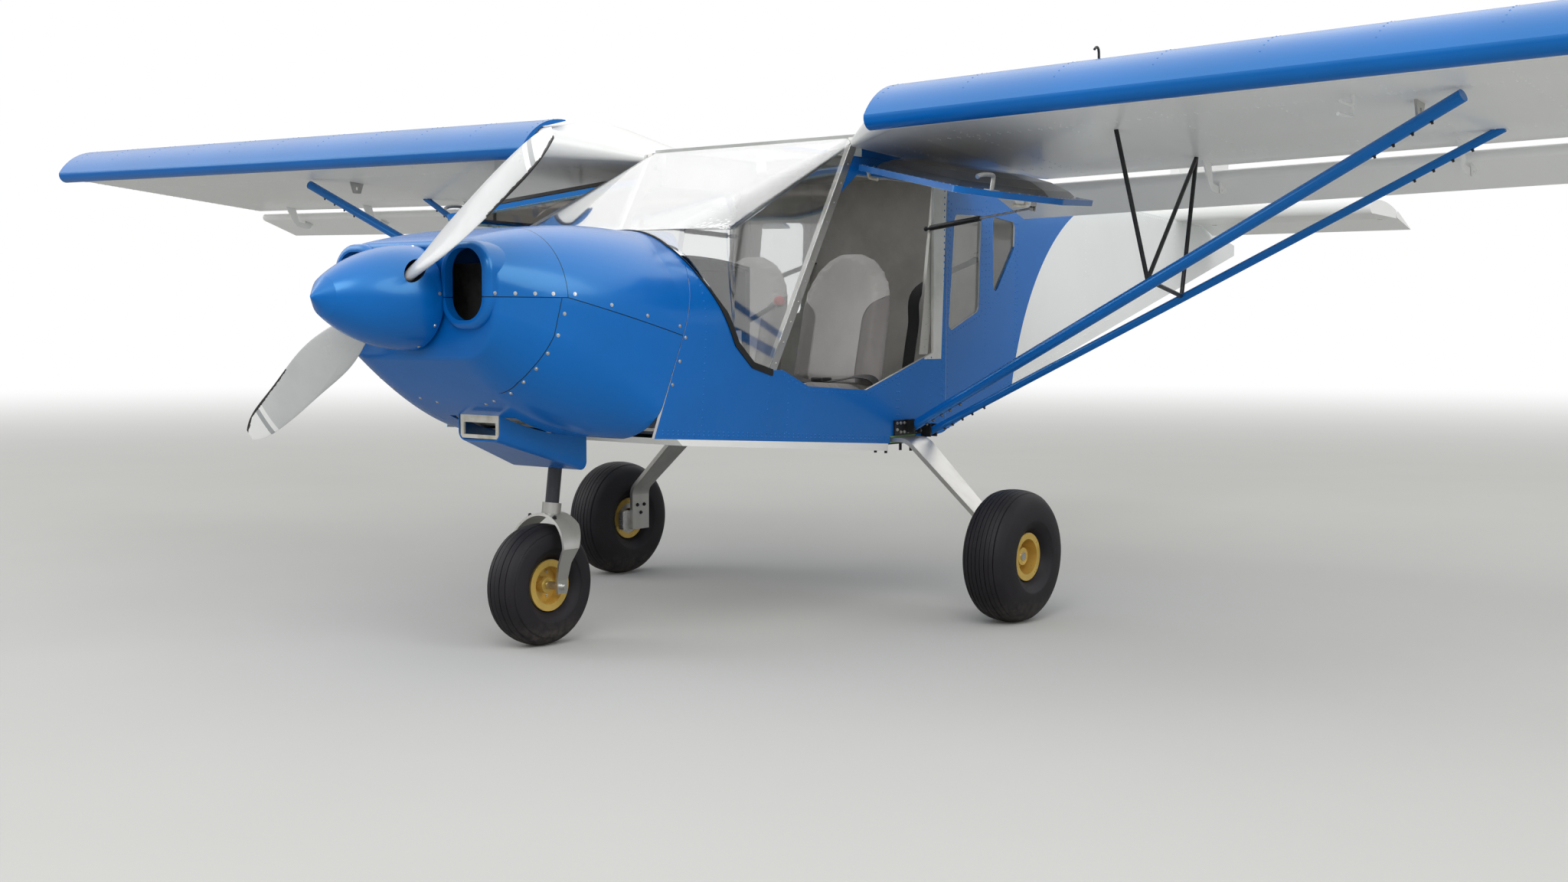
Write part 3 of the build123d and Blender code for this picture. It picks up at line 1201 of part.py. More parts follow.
DOOR_ARM = (2598.0, 2604.0)
EYE_STATION = 2586.0
EYE_AWAY = 504.0
EYE_IN = 57.0
with BuildPart() as door_frame:
    with BuildSketch(door_plane(-DOOR_THICK / 2)):
        add(door_face(DOOR_EDGE, DOOR_CORNER))
        add(door_face(drawn_in(DOOR_EDGE, DOOR_FRAME), DOOR_CORNER / 2), mode=Mode.SUBTRACT)
    extrude(amount=DOOR_THICK)
    for s in HINGE_STATIONS:
        origin = point(DOOR_HINGE[0], s + DOOR_LUG + SEAM, DOOR_HINGE[1])
        with BuildSketch(Plane(origin=origin, x_dir=door_away, z_dir=(0, 1, 0))):
            Circle(2 * DOOR_PIN)
            with Locations((DOOR_TOP / 2 + 2, 0)):
                Rectangle(DOOR_TOP + 4, 12)
            Circle(DOOR_PIN + FIT, mode=Mode.SUBTRACT)
        extrude(amount=DOOR_LUG)
    with BuildSketch(door_plane(-DOOR_THICK / 2)):
        with Locations((aft(DOOR_ARM[0] + 34), -EYE_AWAY)):
            Rectangle(68, 16)
    extrude(amount=6)
    with BuildSketch(door_plane(-EYE_IN - 10)):
        with Locations((aft(sum(DOOR_ARM) / 2), -EYE_AWAY)):
            Rectangle(DOOR_ARM[1] - DOOR_ARM[0], 22)
    extrude(amount=EYE_IN + 10 - DOOR_THICK / 2 + 6)
save(door_frame, "door_frame_left")
save_mirrored(door_frame, "door_frame_right")

# The pane is blown outward: height of each section, its share of the opening, its corner radius
PANE_FIT = 0.5
PANE_THICK = 3.0
PANE_MIDDLE = (2225.0, 400.0)
BUBBLE = ((0.0, 1.0, 17.0), (30.0, 0.9, 24.0), (54.0, 0.74, 24.0), (68.0, 0.5, 18.0))
pane = drawn_in(DOOR_EDGE, DOOR_FRAME + PANE_FIT)


def bubble(drop, less):
    with BuildPart() as made:
        for height, share, radius in BUBBLE:
            with BuildSketch(door_plane(height - drop)):
                add(door_face(shrunk(pane, share - less), radius))
        loft(ruled=True)
    return made.part


with BuildPart() as door_glass:
    with BuildSketch(door_plane(-PANE_THICK)):
        add(door_face(pane, BUBBLE[0][2]))
    extrude(amount=PANE_THICK)
    add(bubble(0, 0))
    add(bubble(PANE_THICK, 0.012), mode=Mode.SUBTRACT)
save(door_glass, "door_glass_left")
save_mirrored(door_glass, "door_glass_right")

# Gas struts: a cup on the ball of the rear post, a cylinder, and a rod whose eye meets the door's arm
STRUT_RADIUS = 11.0
ROD_RADIUS = 4.5
CYLINDER_LENGTH = 280.0
ROD_INSIDE = 10.0
STROKE = 234.0
NECK_LENGTH = 24.0
CUP_WALL = 4.0
eye = Vector(DOOR_HINGE[0], aft(EYE_STATION), DOOR_HINGE[1]) + door_away * EYE_AWAY - door_out * EYE_IN
strut_way = (eye - STRUT_PIVOT).normalized()
with BuildPart() as cylinder:
    cup_in, cup_out = BALL_RADIUS + FIT, BALL_RADIUS + CUP_WALL
    with BuildSketch(Plane(origin=STRUT_PIVOT, x_dir=(0, 1, 0), z_dir=(1, 0, 0))):
        with BuildLine():
            Line((0, cup_in), (0, cup_out))
            CenterArc((0, 0), cup_out, 90, 90)
            Line((-cup_out, 0), (-cup_in, 0))
            CenterArc((0, 0), cup_in, 90, 90)
        make_face()
    revolve(axis=Axis(STRUT_PIVOT, (0, 1, 0)))
    add(tube(STRUT_PIVOT + strut_way * (BALL_RADIUS + 2), STRUT_PIVOT + strut_way * (NECK_LENGTH + 1), BALL_RADIUS))
    add(tube(STRUT_PIVOT + strut_way * NECK_LENGTH, STRUT_PIVOT + strut_way * CYLINDER_LENGTH, STRUT_RADIUS))
    bottom = CYLINDER_LENGTH - STROKE - 2 * ROD_INSIDE
    add(tube(STRUT_PIVOT + strut_way * bottom, STRUT_PIVOT + strut_way * (CYLINDER_LENGTH + 1), ROD_RADIUS + FIT),
        mode=Mode.SUBTRACT)
save(cylinder, "gas_cylinder_left")
save_mirrored(cylinder, "gas_cylinder_right")
with BuildPart() as rod:
    add(tube(STRUT_PIVOT + strut_way * (CYLINDER_LENGTH - ROD_INSIDE), eye, ROD_RADIUS))
    with Locations(eye):
        Sphere(9)
save(rod, "gas_rod_left")
save_mirrored(rod, "gas_rod_right")

# Two seats in side view, carried across, with rounded shoulders
SEAT_X = (36.0, 492.0)
SEAT_SIDE = ((1960.0, floor_top(1960) + 0.3), (1945.0, 915.0), (2310.0, 893.0), (2440.0, 1424.0), (2512.0, 1424.0),
             (2420.0, 900.0), (2420.0, floor_top(2420) + 0.3))
with BuildPart() as seats:
    with BuildSketch(side_plane(SEAT_X[0])):
        with BuildLine():
            Polyline(*[at(s, z) for s, z in SEAT_SIDE], close=True)
        make_face()
    extrude(amount=SEAT_X[1] - SEAT_X[0])
    fillet(seats.edges().filter_by(Axis.X).group_by(Axis.Z)[-1], radius=30)
    with BuildSketch(section(1900.0)):
        with Locations((sum(SEAT_X) / 2, 0)):
            add(hood((SEAT_X[1] - SEAT_X[0]) / 2, 1424.0, 700.0, 120.0, 4.0))
    extrude(amount=-700, mode=Mode.INTERSECT)
    mirror(about=Plane.YZ)
save(seats, "seats")

# Instrument panel under a short hood
PANEL_STATION = 1500.0
with BuildPart() as panel:
    add(across([(1264.0, 1383.0), (PANEL_STATION, 1345.0), (PANEL_STATION, 1120.0), (PANEL_STATION - 10, 1120.0),
                (PANEL_STATION - 10, 1335.0), (1264.0, 1373.0)], 600))
    add(glasshouse(GLASS + 6), mode=Mode.INTERSECT)
    for side in (-1, 1):
        x0, x1 = sorted((side * (HALF_CABIN - 30), side * (HALF_CABIN - SKIN)))
        add(block((x0, x1), (PANEL_STATION - 24, PANEL_STATION), (900.0, 1330.0)))
save(panel, "instrument_panel")

# Control column between the seats, forked to a grip on each side
COLUMN = (point(0, 1890, 743.0), point(0, 2000, 1110), point(245, 2013, 1225))
with BuildPart() as column:
    add(tube(COLUMN[0], COLUMN[1], 13))
    with Locations(COLUMN[1]):
        Sphere(15)
    for side in (-1, 1):
        end = Vector(side * COLUMN[2].X, COLUMN[2].Y, COLUMN[2].Z)
        add(tube(COLUMN[1], end, 10))
        with Locations(end):
            Sphere(19)
    add(block((-200, 200), (1700, 2200), (600, floor_top(1880) + 0.3)), mode=Mode.SUBTRACT)
save(column, "control_column")
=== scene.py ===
import math

import bmesh
import bpy
from mathutils import Matrix, Vector
from mathutils.bvhtree import BVHTree


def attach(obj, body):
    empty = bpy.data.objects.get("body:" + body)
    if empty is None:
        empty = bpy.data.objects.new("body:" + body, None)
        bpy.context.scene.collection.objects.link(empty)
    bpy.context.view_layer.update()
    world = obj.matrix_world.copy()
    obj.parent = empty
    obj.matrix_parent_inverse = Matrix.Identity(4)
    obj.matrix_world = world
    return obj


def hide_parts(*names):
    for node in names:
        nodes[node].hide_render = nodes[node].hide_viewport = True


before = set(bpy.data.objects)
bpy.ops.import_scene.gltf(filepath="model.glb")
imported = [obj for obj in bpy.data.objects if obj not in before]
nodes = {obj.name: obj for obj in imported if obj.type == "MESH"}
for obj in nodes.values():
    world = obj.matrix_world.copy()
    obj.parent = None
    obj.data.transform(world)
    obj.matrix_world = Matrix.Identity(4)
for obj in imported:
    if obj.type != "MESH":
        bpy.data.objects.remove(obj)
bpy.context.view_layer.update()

print("frame loaded:", len(nodes), "nodes")

noseStation = 3.325  # station of the frame's zero, metres aft of the spinner's tip
thrustZ = 1.228
paintArc = dict(y=1.293, z=0.541, radius=1.217)  # blue ahead of this arc, white inside and behind it
doorHinge = dict(x=552, z=1742, swing=math.radians(79))
hands = ((1, "left"), (-1, "right"))


def place(station, z, x=0.0):
    # a point from its station, height and distance to the left, all in millimetres
    return Vector((x / 1000, station / 1000 - noseStation, z / 1000))


def mainHub(side):
    return place(2450, 255, side * 1052)


def addObject(name, data):
    made = bpy.data.objects.new(name, data)
    bpy.context.scene.collection.objects.link(made)
    return made


def addPiece(name, mesh, body, finishName, replaced=()):
    piece = addObject(name, mesh)
    if not len(mesh.materials):
        mesh.materials.append(materials[finishName])
    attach(piece, body)
    if replaced:
        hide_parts(*replaced)
    return piece


def bakedMesh(holder):
    # the mesh that an object's curve or modifiers give; the object itself goes
    bpy.context.view_layer.update()
    made = bpy.data.meshes.new_from_object(holder.evaluated_get(bpy.context.evaluated_depsgraph_get()))
    bpy.data.objects.remove(holder)
    return made


def smoothMesh(mesh, angle=38):
    mesh.shade_smooth()
    mesh.set_sharp_from_angle(angle=math.radians(angle))
    return mesh


def meshFrom(name, points, faces, angle=38):
    mesh = bpy.data.meshes.new(name)
    mesh.from_pydata([tuple(p) for p in points], [], faces)
    work = bmesh.new()
    work.from_mesh(mesh)
    bmesh.ops.remove_doubles(work, verts=work.verts, dist=1e-6)
    bmesh.ops.recalc_face_normals(work, faces=work.faces)
    work.to_mesh(mesh)
    work.free()
    return smoothMesh(mesh, angle)


def ringMesh(name, rings, closed=False, angle=60):
    # a skin over rings of points, either capped at both ends or closed round on itself
    count = len(rings[0])
    faces = []
    for i in range(len(rings) - (not closed)):
        here, there = i * count, (i + 1) % len(rings) * count
        for j in range(count):
            k = (j + 1) % count
            faces.append((here + j, here + k, there + k, there + j))
    if not closed:
        faces.append(tuple(range(count))[::-1])
        faces.append(tuple((len(rings) - 1) * count + j for j in range(count)))
    return meshFrom(name, [p for ring in rings for p in ring], faces, angle)


def ringPiece(name, rings, finishName, body="airframe", closed=False, angle=60, replaced=()):
    addPiece(name, ringMesh(name, rings, closed, angle), body, finishName, replaced)


def turned(middle, profile, axis, count):
    # rings round an axis through middle, from pairs of a shift along it and a radius
    rings = []
    for shift, radius in profile:
        ring = []
        for i in range(count):
            angle = 2 * math.pi * i / count
            offset = [radius * math.cos(angle), radius * math.sin(angle)]
            offset.insert(axis, shift)
            ring.append(middle + Vector(offset))
        rings.append(ring)
    return rings


def curveThrough(knots, steps=8):
    # a smooth run through knots
    knots = [Vector(k) for k in knots]
    last = len(knots) - 1
    found = []
    for i in range(last):
        p0, p1, p2, p3 = [knots[min(max(j, 0), last)] for j in range(i - 1, i + 3)]
        for step in range(steps):
            t = step / steps
            found.append(0.5 * ((2 * p1) + (p2 - p0) * t + (2 * p0 - 5 * p1 + 4 * p2 - p3) * t * t
                                + (3 * p1 - p0 - 3 * p2 + p3) * t ** 3))
    return found + [knots[-1]]


# shader helpers
def addNode(tree, kind, inputs=None, **settings):
    made = tree.nodes.new(kind)
    for key, value in settings.items():
        setattr(made, key, value)
    for key, value in (inputs or {}).items():
        if isinstance(value, bpy.types.NodeSocket):
            tree.links.new(value, made.inputs[key])
        else:
            made.inputs[key].default_value = value
    return made


def calc(tree, operation, a, b=0.0, clamp=False):
    return addNode(tree, "ShaderNodeMath", {0: a, 1: b}, operation=operation, use_clamp=clamp).outputs[0]


def product(tree, first, *others):
    for other in others:
        first = calc(tree, "MULTIPLY", first, other)
    return first


def inBand(tree, value, low, high):
    return product(tree, calc(tree, "GREATER_THAN", value, low), calc(tree, "LESS_THAN", value, high))


def vectorCalc(tree, operation, a, b=(0, 0, 0), output=0):
    return addNode(tree, "ShaderNodeVectorMath", {0: a, 1: b}, operation=operation).outputs[output]


def coordinate(tree, kind="Object"):
    return addNode(tree, "ShaderNodeTexCoord").outputs[kind]


def axesOf(tree, vector):
    return addNode(tree, "ShaderNodeSeparateXYZ", {0: vector}).outputs


def blendColour(tree, factor, a, b):
    return addNode(tree, "ShaderNodeMix", {0: factor, 6: a, 7: b}, data_type="RGBA").outputs[2]


def between(tree, value, low, high, outLow=0.0, outHigh=1.0, shape="SMOOTHSTEP"):
    return addNode(tree, "ShaderNodeMapRange", {0: value, 1: low, 2: high, 3: outLow, 4: outHigh},
                   interpolation_type=shape).outputs[0]


def noiseAt(tree, vector, scale, detail=3.0, roughness=0.5):
    return addNode(tree, "ShaderNodeTexNoise",
                   {"Vector": vector, "Scale": scale, "Detail": detail, "Roughness": roughness}).outputs[0]


def newGroup(name, inputs, outputs):
    # a node group whose sockets take their kind from their first value
    group = bpy.data.node_groups.new(name, "ShaderNodeTree")
    for way, sockets in (("INPUT", inputs), ("OUTPUT", outputs)):
        for label, value in sockets.items():
            size = len(value) if isinstance(value, tuple) else 1
            kind = {1: "NodeSocketFloat", 3: "NodeSocketVector", 4: "NodeSocketColor"}[size]
            group.interface.new_socket(label, in_out=way, socket_type=kind).default_value = value
    return group, group.nodes.new("NodeGroupInput").outputs, group.nodes.new("NodeGroupOutput").inputs


def linear(hexCode):
    # a colour from its six hex digits, as Blender's linear values
    parts = [int(hexCode[i:i + 2], 16) / 255 for i in (0, 2, 4)]
    return tuple(((c + 0.055) / 1.055) ** 2.4 if c > 0.04 else c / 12.92 for c in parts) + (1.0,)


# surface grain: broad patches of a second colour, fine grain in the bump, dust low down
origin, white = (0, 0, 0), (1, 1, 1, 1)
grainGroup, given, put = newGroup("surfaceGrain", {
    "Vector": origin, "Colour": white, "Patch Colour": white, "Patch Scale": 3.0, "Patch Amount": 0.3,
    "Grain Scale": 400.0, "Roughness": 0.3, "Roughness Spread": 0.1, "Dust Colour": (0.3, 0.26, 0.2, 1),
    "Dust Amount": 0.0, "Dust Height": 1.0}, {"Colour": white, "Roughness": 0.0, "Height": 0.0})
tree = grainGroup
patch = noiseAt(tree, given["Vector"], given["Patch Scale"], 6.0, 0.6)
patchMask = product(tree, between(tree, patch, 0.38, 0.68), given["Patch Amount"])
grain = noiseAt(tree, given["Vector"], given["Grain Scale"], 2.0)
low = between(tree, axesOf(tree, given["Vector"])[2], given["Dust Height"], 0.0)
speckle = noiseAt(tree, given["Vector"], 34.0, 5.0, 0.7)
dusty = product(tree, low, between(tree, speckle, 0.3, 0.75))
dustMask = calc(tree, "MULTIPLY", dusty, given["Dust Amount"], True)
painted = blendColour(tree, patchMask, given["Colour"], given["Patch Colour"])
tree.links.new(blendColour(tree, dustMask, painted, given["Dust Colour"]), put["Colour"])
uneven = product(tree, calc(tree, "SUBTRACT", patch, 0.5), given["Roughness Spread"])
rough = calc(tree, "ADD", given["Roughness"], uneven)
tree.links.new(calc(tree, "ADD", rough, product(tree, dustMask, 0.3), True), put["Roughness"])
tree.links.new(calc(tree, "ADD", grain, product(tree, patch, 0.6)), put["Height"])

# paint line: 1 inside the white rear of the body, behind an arc seen from the side
lineGroup, given, put = newGroup("paintLine", {"Vector": origin}, {"Mask": 0.0})
seen = axesOf(lineGroup, given["Vector"])
dy = calc(lineGroup, "SUBTRACT", seen[1], paintArc["y"])
dz = calc(lineGroup, "SUBTRACT", seen[2], paintArc["z"])
squares = calc(lineGroup, "ADD", product(lineGroup, dy, dy), product(lineGroup, dz, dz))
reach = calc(lineGroup, "SQRT", squares)
inside = calc(lineGroup, "LESS_THAN", reach, paintArc["radius"])
behind = calc(lineGroup, "GREATER_THAN", dy, 0.0)
lineGroup.links.new(calc(lineGroup, "MAXIMUM", inside, behind), put["Mask"])

# painted seam shade: 1 within a half width of a straight run, both seen from the side
seamShadeGroup, given, put = newGroup(
    "seamShadeLine", {"Vector": origin, "Start": origin, "End": (0, 1, 0), "Half Width": 0.0015}, {"Mask": 0.0})
tree = seamShadeGroup
flat = vectorCalc(tree, "MULTIPLY", given["Vector"], (0, 1, 1))
fromStart = vectorCalc(tree, "SUBTRACT", flat, given["Start"])
run = vectorCalc(tree, "SUBTRACT", given["End"], given["Start"])
share = calc(tree, "DIVIDE", vectorCalc(tree, "DOT_PRODUCT", fromStart, run, "Value"),
             vectorCalc(tree, "DOT_PRODUCT", run, run, "Value"), True)
nearest = addNode(tree, "ShaderNodeVectorMath", {0: run, "Scale": share}, operation="SCALE").outputs[0]
offLine = vectorCalc(tree, "DISTANCE", fromStart, nearest, "Value")
tree.links.new(calc(tree, "LESS_THAN", offLine, given["Half Width"]), put["Mask"])
print("shader groups built")

surfaceInputs = {"patchScale": "Patch Scale", "patchAmount": "Patch Amount", "grain": "Grain Scale",
                 "rough": "Roughness", "spread": "Roughness Spread", "dust": "Dust Amount",
                 "dustHeight": "Dust Height"}
shaderInputs = {"metal": "Metallic", "coat": "Coat Weight", "coatRough": "Coat Roughness",
                "coatIor": "Coat IOR", "transmission": "Transmission Weight", "ior": "IOR",
                "sheen": "Sheen Weight", "tint": "Specular Tint", "specular": "Specular IOR Level"}


def setInputs(made, look, labels):
    for key, label in labels.items():
        if key in look:
            made.inputs[label].default_value = look[key]


def surface(tree, look, vector):
    # one placed copy of the grain group with a look's own values
    if "stretch" in look:
        vector = addNode(tree, "ShaderNodeMapping", {"Vector": vector, "Scale": look["stretch"]}).outputs[0]
    made = addNode(tree, "ShaderNodeGroup", {
        "Vector": vector, "Colour": linear(look["colour"]), "Patch Colour": linear(look["patch"])},
        node_tree=grainGroup)
    setInputs(made, look, surfaceInputs)
    return made.outputs


def emptyTree(owner):
    owner.use_nodes = True
    owner.node_tree.nodes.clear()
    return owner.node_tree


def startMaterial(name, look):
    # a new material with its shader, and the part's own coordinates
    materials[name] = bpy.data.materials.new(name)
    tree = emptyTree(materials[name])
    shader = tree.nodes.new("ShaderNodeBsdfPrincipled")
    addNode(tree, "ShaderNodeOutputMaterial", {0: shader.outputs[0]})
    setInputs(shader, look, shaderInputs)
    return tree, shader, coordinate(tree)


def cover(tree, shader, colour, made, bump, height=None):
    # a colour on the shader with a surface's roughness and grain
    tree.links.new(colour, shader.inputs["Base Color"])
    tree.links.new(made["Roughness"], shader.inputs["Roughness"])
    relief = addNode(tree, "ShaderNodeBump", {
        "Height": height or made["Height"], "Strength": bump, "Distance": 0.001})
    tree.links.new(relief.outputs[0], shader.inputs["Normal"])


lookColumns = ("colour", "patch", "patchScale", "patchAmount", "grain", "rough", "spread", "bump")
lookRows = {
    "bluePaint": ("0060B4", "0057A3", 1.6, 0.5, 260, 0.25, 0.12, 0.03, dict(
        coat=0.15, coatRough=0.05, specular=1, tint=(0.3, 0.75, 1, 1.0), dust=0.08, dustHeight=1.1)),
    "whitePaint": ("ECEDEC", "E2E3DF", 0.9, 0.5, 300, 0.36, 0.12, 0.02, dict(coat=0.25, coatRough=0.1)),
    "bareAluminium": ("C9C8C4", "A3A19A", 5, 0.6, 900, 0.36, 0.24, 0.12, dict(
        metal=0.9, stretch=(1, 1, 0.12))),
    "skinMetal": ("D2CFC9", "B2AEA7", 3.2, 0.7, 700, 0.42, 0.3, 0.1, dict(metal=0.35)),
    "greyPaint": ("C2BEB9", "A09C97", 2.6, 0.8, 800, 0.38, 0.3, 0.1, dict(metal=0.1)),
    "sealRubber": ("0E0E0F", "1B1B1C", 14, 0.6, 1400, 0.5, 0.2, 0.15, dict()),
    "darkMetal": ("1A1B1D", "2B2C2E", 11, 0.7, 1100, 0.38, 0.25, 0.08, dict(metal=0.3, coat=0.2)),
    "legPaint": ("3A3D44", "2A2C31", 8, 0.6, 900, 0.34, 0.25, 0.06, dict(
        metal=0.4, coat=0.3, dust=0.25, dustHeight=0.6)),
    "steel": ("D4D4D2", "A9A7A2", 24, 0.6, 1500, 0.3, 0.25, 0.08, dict(metal=0.9)),
    "engineMetal": ("4A4845", "2C2A28", 9, 0.9, 700, 0.6, 0.3, 0.2, dict(metal=0.5)),
    "bladeGrey": ("C9CBCC", "BDBFBF", 4, 0.6, 500, 0.3, 0.2, 0.04, dict(coat=0.4, coatRough=0.1)),
    "goldAluminium": ("DDBB62", "C9A64E", 12, 0.7, 1200, 0.3, 0.25, 0.06, dict(
        metal=0.4, dust=0.15, dustHeight=0.4)),
    "tyreRubber": ("1C1A1E", "272428", 7, 0.5, 520, 0.6, 0.2, 0.35, dict(
        specular=0.3, dust=0.22, dustHeight=0.13)),
    "panelBlack": ("17181A", "232425", 10, 0.6, 1800, 0.55, 0.2, 0.25, dict()),
    "padGreen": ("7FA66E", "5F8552", 20, 0.7, 900, 0.5, 0.2, 0.1, dict()),
    "knobRed": ("C22A24", "9E1D1B", 30, 0.5, 900, 0.3, 0.1, 0.03, dict(coat=0.4, coatRough=0.1)),
    "ductWhite": ("D6D2C6", "A9A28F", 14, 0.8, 700, 0.45, 0.2, 0.15, dict()),
    "webbing": ("121214", "1E1D1F", 40, 0.6, 1600, 0.8, 0.1, 0.5, dict(sheen=0.3)),
    # glass: clear acrylic with a faint haze, and brown smoke for the doors
    "windshieldGlass": ("F7F8F8", "EEF0F0", 1.2, 0.5, 60, 0.02, 0.03, 0.02, dict(
        transmission=1, ior=1.45, coat=1, coatIor=2.3, coatRough=0.04)),
    "clearGlass": ("F2F4F3", "E6E9E8", 2, 0.5, 60, 0.03, 0.03, 0.02, dict(transmission=1, ior=1.45)),
    "smokeGlass": ("8F8983", "7F7973", 3, 0.6, 60, 0.05, 0.05, 0.03, dict(transmission=1, ior=1.45)),
}
looks = {name: {**dict(zip(lookColumns, row)), **row[-1]} for name, row in lookRows.items()}
materials = {}
for name, look in looks.items():
    tree, shader, spot = startMaterial(name, look)
    made = surface(tree, look, spot)
    cover(tree, shader, made["Colour"], made, look["bump"])

# body panels: painted outside, bare metal inside
shellLook = dict(middleZ=1.25, sillZ=1.0, stripFront=2.6 - noseStation, stripRear=2.722 - noseStation,
                 lean=0.05)
for name, twoTone in (("shellBlue", False), ("shellTwoTone", True)):
    tree, shader, spot = startMaterial(name, looks["bluePaint"])
    blue, bare = surface(tree, looks["bluePaint"], spot), surface(tree, looks["skinMetal"], spot)
    colour = blue["Colour"]
    if twoTone:
        paleSide = surface(tree, looks["whitePaint"], spot)
        mask = addNode(tree, "ShaderNodeGroup", {0: spot}, node_tree=lineGroup).outputs[0]
        colour = blendColour(tree, mask, colour, paleSide["Colour"])
    # the strip behind the doorway stays bare, down to the sill's rear corner
    axes = axesOf(tree, spot)
    slant = product(tree, calc(tree, "SUBTRACT", axes[2], shellLook["sillZ"]), shellLook["lean"])
    edge = calc(tree, "ADD", shellLook["stripRear"], slant)
    strip = product(tree, inBand(tree, axes[1], shellLook["stripFront"], edge),
                    between(tree, axes[2], shellLook["sillZ"] - 0.001, shellLook["sillZ"] + 0.001))
    # so does every face that looks towards the cabin's middle line
    section = vectorCalc(tree, "MULTIPLY", spot, (1, 0, 1))
    arm = vectorCalc(tree, "SUBTRACT", section, (0, 0, shellLook["middleZ"]))
    facing = vectorCalc(tree, "DOT_PRODUCT", arm, coordinate(tree, "Normal"), "Value")
    mask = calc(tree, "MAXIMUM", strip, calc(tree, "LESS_THAN", facing, 0.02))
    cover(tree, shader, blendColour(tree, mask, colour, bare["Colour"]), blue, 0.03)

# cowling paint: painted shade along the gaps between its panels, drawn dark as runs of station and height
seamShadeRuns = (((382, 1228), (650, 1228), (650, 1500)), ((650, 1228), (1134, 1103), (986, 757)),
            ((1134, 1103), (1238, 1346)),
            ((628, 1228), (600, 1107), (573, 1049), (553, 999), (544, 955), (548, 917)))
tree, shader, spot = startMaterial("cowlPaint", looks["bluePaint"])
blue = surface(tree, looks["bluePaint"], spot)
mask = 0.0
for corners in seamShadeRuns:
    for start, end in zip(corners, corners[1:]):
        ends = {"Vector": spot, "Start": place(*start), "End": place(*end)}
        seamShade = addNode(tree, "ShaderNodeGroup", ends, node_tree=seamShadeGroup)
        mask = calc(tree, "MAXIMUM", mask, seamShade.outputs[0])
# the painted gap shade is dark blue laid over the paint
cover(tree, shader, blendColour(tree, mask, blue["Colour"], linear("07182F")), blue, 0.03)

# propeller blades: white tips, one grey band near each and a dark ragged band along the leading edge, from
# the distance out along the blade; the dark band's half width falls from near to far, then by its taper
bladeLook = dict(lean=math.radians(31.85), band=(0.790, 0.812), white=0.768, near=(0.56, 0.069),
                 far=(0.84, 0.047), taper=0.45)
tree, shader, spot = startMaterial("bladePaint", looks["bladeGrey"])
axle = vectorCalc(tree, "ADD", spot, (0, 0, -thrustZ))
turn = addNode(tree, "ShaderNodeMapping", {"Vector": axle, "Rotation": (0, bladeLook["lean"], 0)}).outputs[0]
axes = axesOf(tree, turn)
out = calc(tree, "ABSOLUTE", axes[0])
grey = surface(tree, looks["bladeGrey"], spot)
bandMask = inBand(tree, out, *bladeLook["band"])
tipMask = calc(tree, "GREATER_THAN", out, bladeLook["white"])
colour = blendColour(tree, tipMask, grey["Colour"], linear("EDEEED"))
colour = blendColour(tree, bandMask, colour, linear("A3A6A8"))
lead = product(tree, axes[2], calc(tree, "SIGN", axes[0]), -1.0)
ragged = product(tree, noiseAt(tree, spot, 70.0, 4.0, 0.8), 0.016)
(nearOut, nearHalf), (farOut, farHalf) = bladeLook["near"], bladeLook["far"]
darkEdgeHalf = between(tree, out, nearOut, farOut, nearHalf, farHalf, "LINEAR")
beyond = calc(tree, "MAXIMUM", calc(tree, "SUBTRACT", out, farOut), 0.0)
darkEdgeHalf = calc(tree, "SUBTRACT", darkEdgeHalf, product(tree, beyond, bladeLook["taper"]))
edgeMask = product(tree, calc(tree, "GREATER_THAN", calc(tree, "ADD", lead, ragged), darkEdgeHalf),
                   calc(tree, "GREATER_THAN", out, nearOut))
cover(tree, shader, blendColour(tree, edgeMask, colour, linear("1D1B1A")), grey, 0.04)

# door frames: blue on the outer half of their thickness, bare inside
for side, name in ((1, "doorEdgeLeft"), (-1, "doorEdgeRight")):
    tree, shader, spot = startMaterial(name, looks["bluePaint"])
    axes = axesOf(tree, spot)
    swing, hingeX, hingeZ = doorHinge["swing"], side * doorHinge["x"] / 1000, doorHinge["z"] / 1000
    sideways = product(tree, calc(tree, "SUBTRACT", axes[0], hingeX), side * math.cos(swing))
    upwards = product(tree, calc(tree, "SUBTRACT", axes[2], hingeZ), math.sin(swing))
    outward = calc(tree, "ADD", sideways, upwards)
    mask = calc(tree, "GREATER_THAN", outward, -0.0105)
    blue, bare = surface(tree, looks["bluePaint"], spot), surface(tree, looks["bareAluminium"], spot)
    cover(tree, shader, blendColour(tree, mask, bare["Colour"], blue["Colour"]), blue, 0.05)
    tree.links.new(product(tree, calc(tree, "SUBTRACT", 1.0, mask), 0.8), shader.inputs["Metallic"])

# seat cloth: a pale middle, and darker side pads that widen towards the top
clothLook = dict(patchScale=6.0, patchAmount=0.6, grain=1500.0, spread=0.15)
seatLook = dict(middle=0.264, half=0.229, swell=4.0, cap=0.010, voxel=0.009, border=0.118, flare=0.14,
                flareLow=1.13, flareHigh=1.31)
tree, shader, spot = startMaterial("seatCloth", dict(sheen=0.25))
axes = axesOf(tree, spot)
pale = surface(tree, dict(colour="B4B1AF", patch="A7A4A1", rough=0.55, **clothLook), spot)
dark = surface(tree, dict(colour="7F7B79", patch="726E6C", rough=0.6, **clothLook), spot)
out = calc(tree, "ABSOLUTE", calc(tree, "SUBTRACT", calc(tree, "ABSOLUTE", axes[0]), seatLook["middle"]))
flare = calc(tree, "POWER", between(tree, axes[2], seatLook["flareLow"], seatLook["flareHigh"]), 2.0)
border = calc(tree, "ADD", seatLook["border"], product(tree, flare, seatLook["flare"]))
padMask = product(tree, calc(tree, "GREATER_THAN", out, border), calc(tree, "LESS_THAN", axes[2], 1.3))
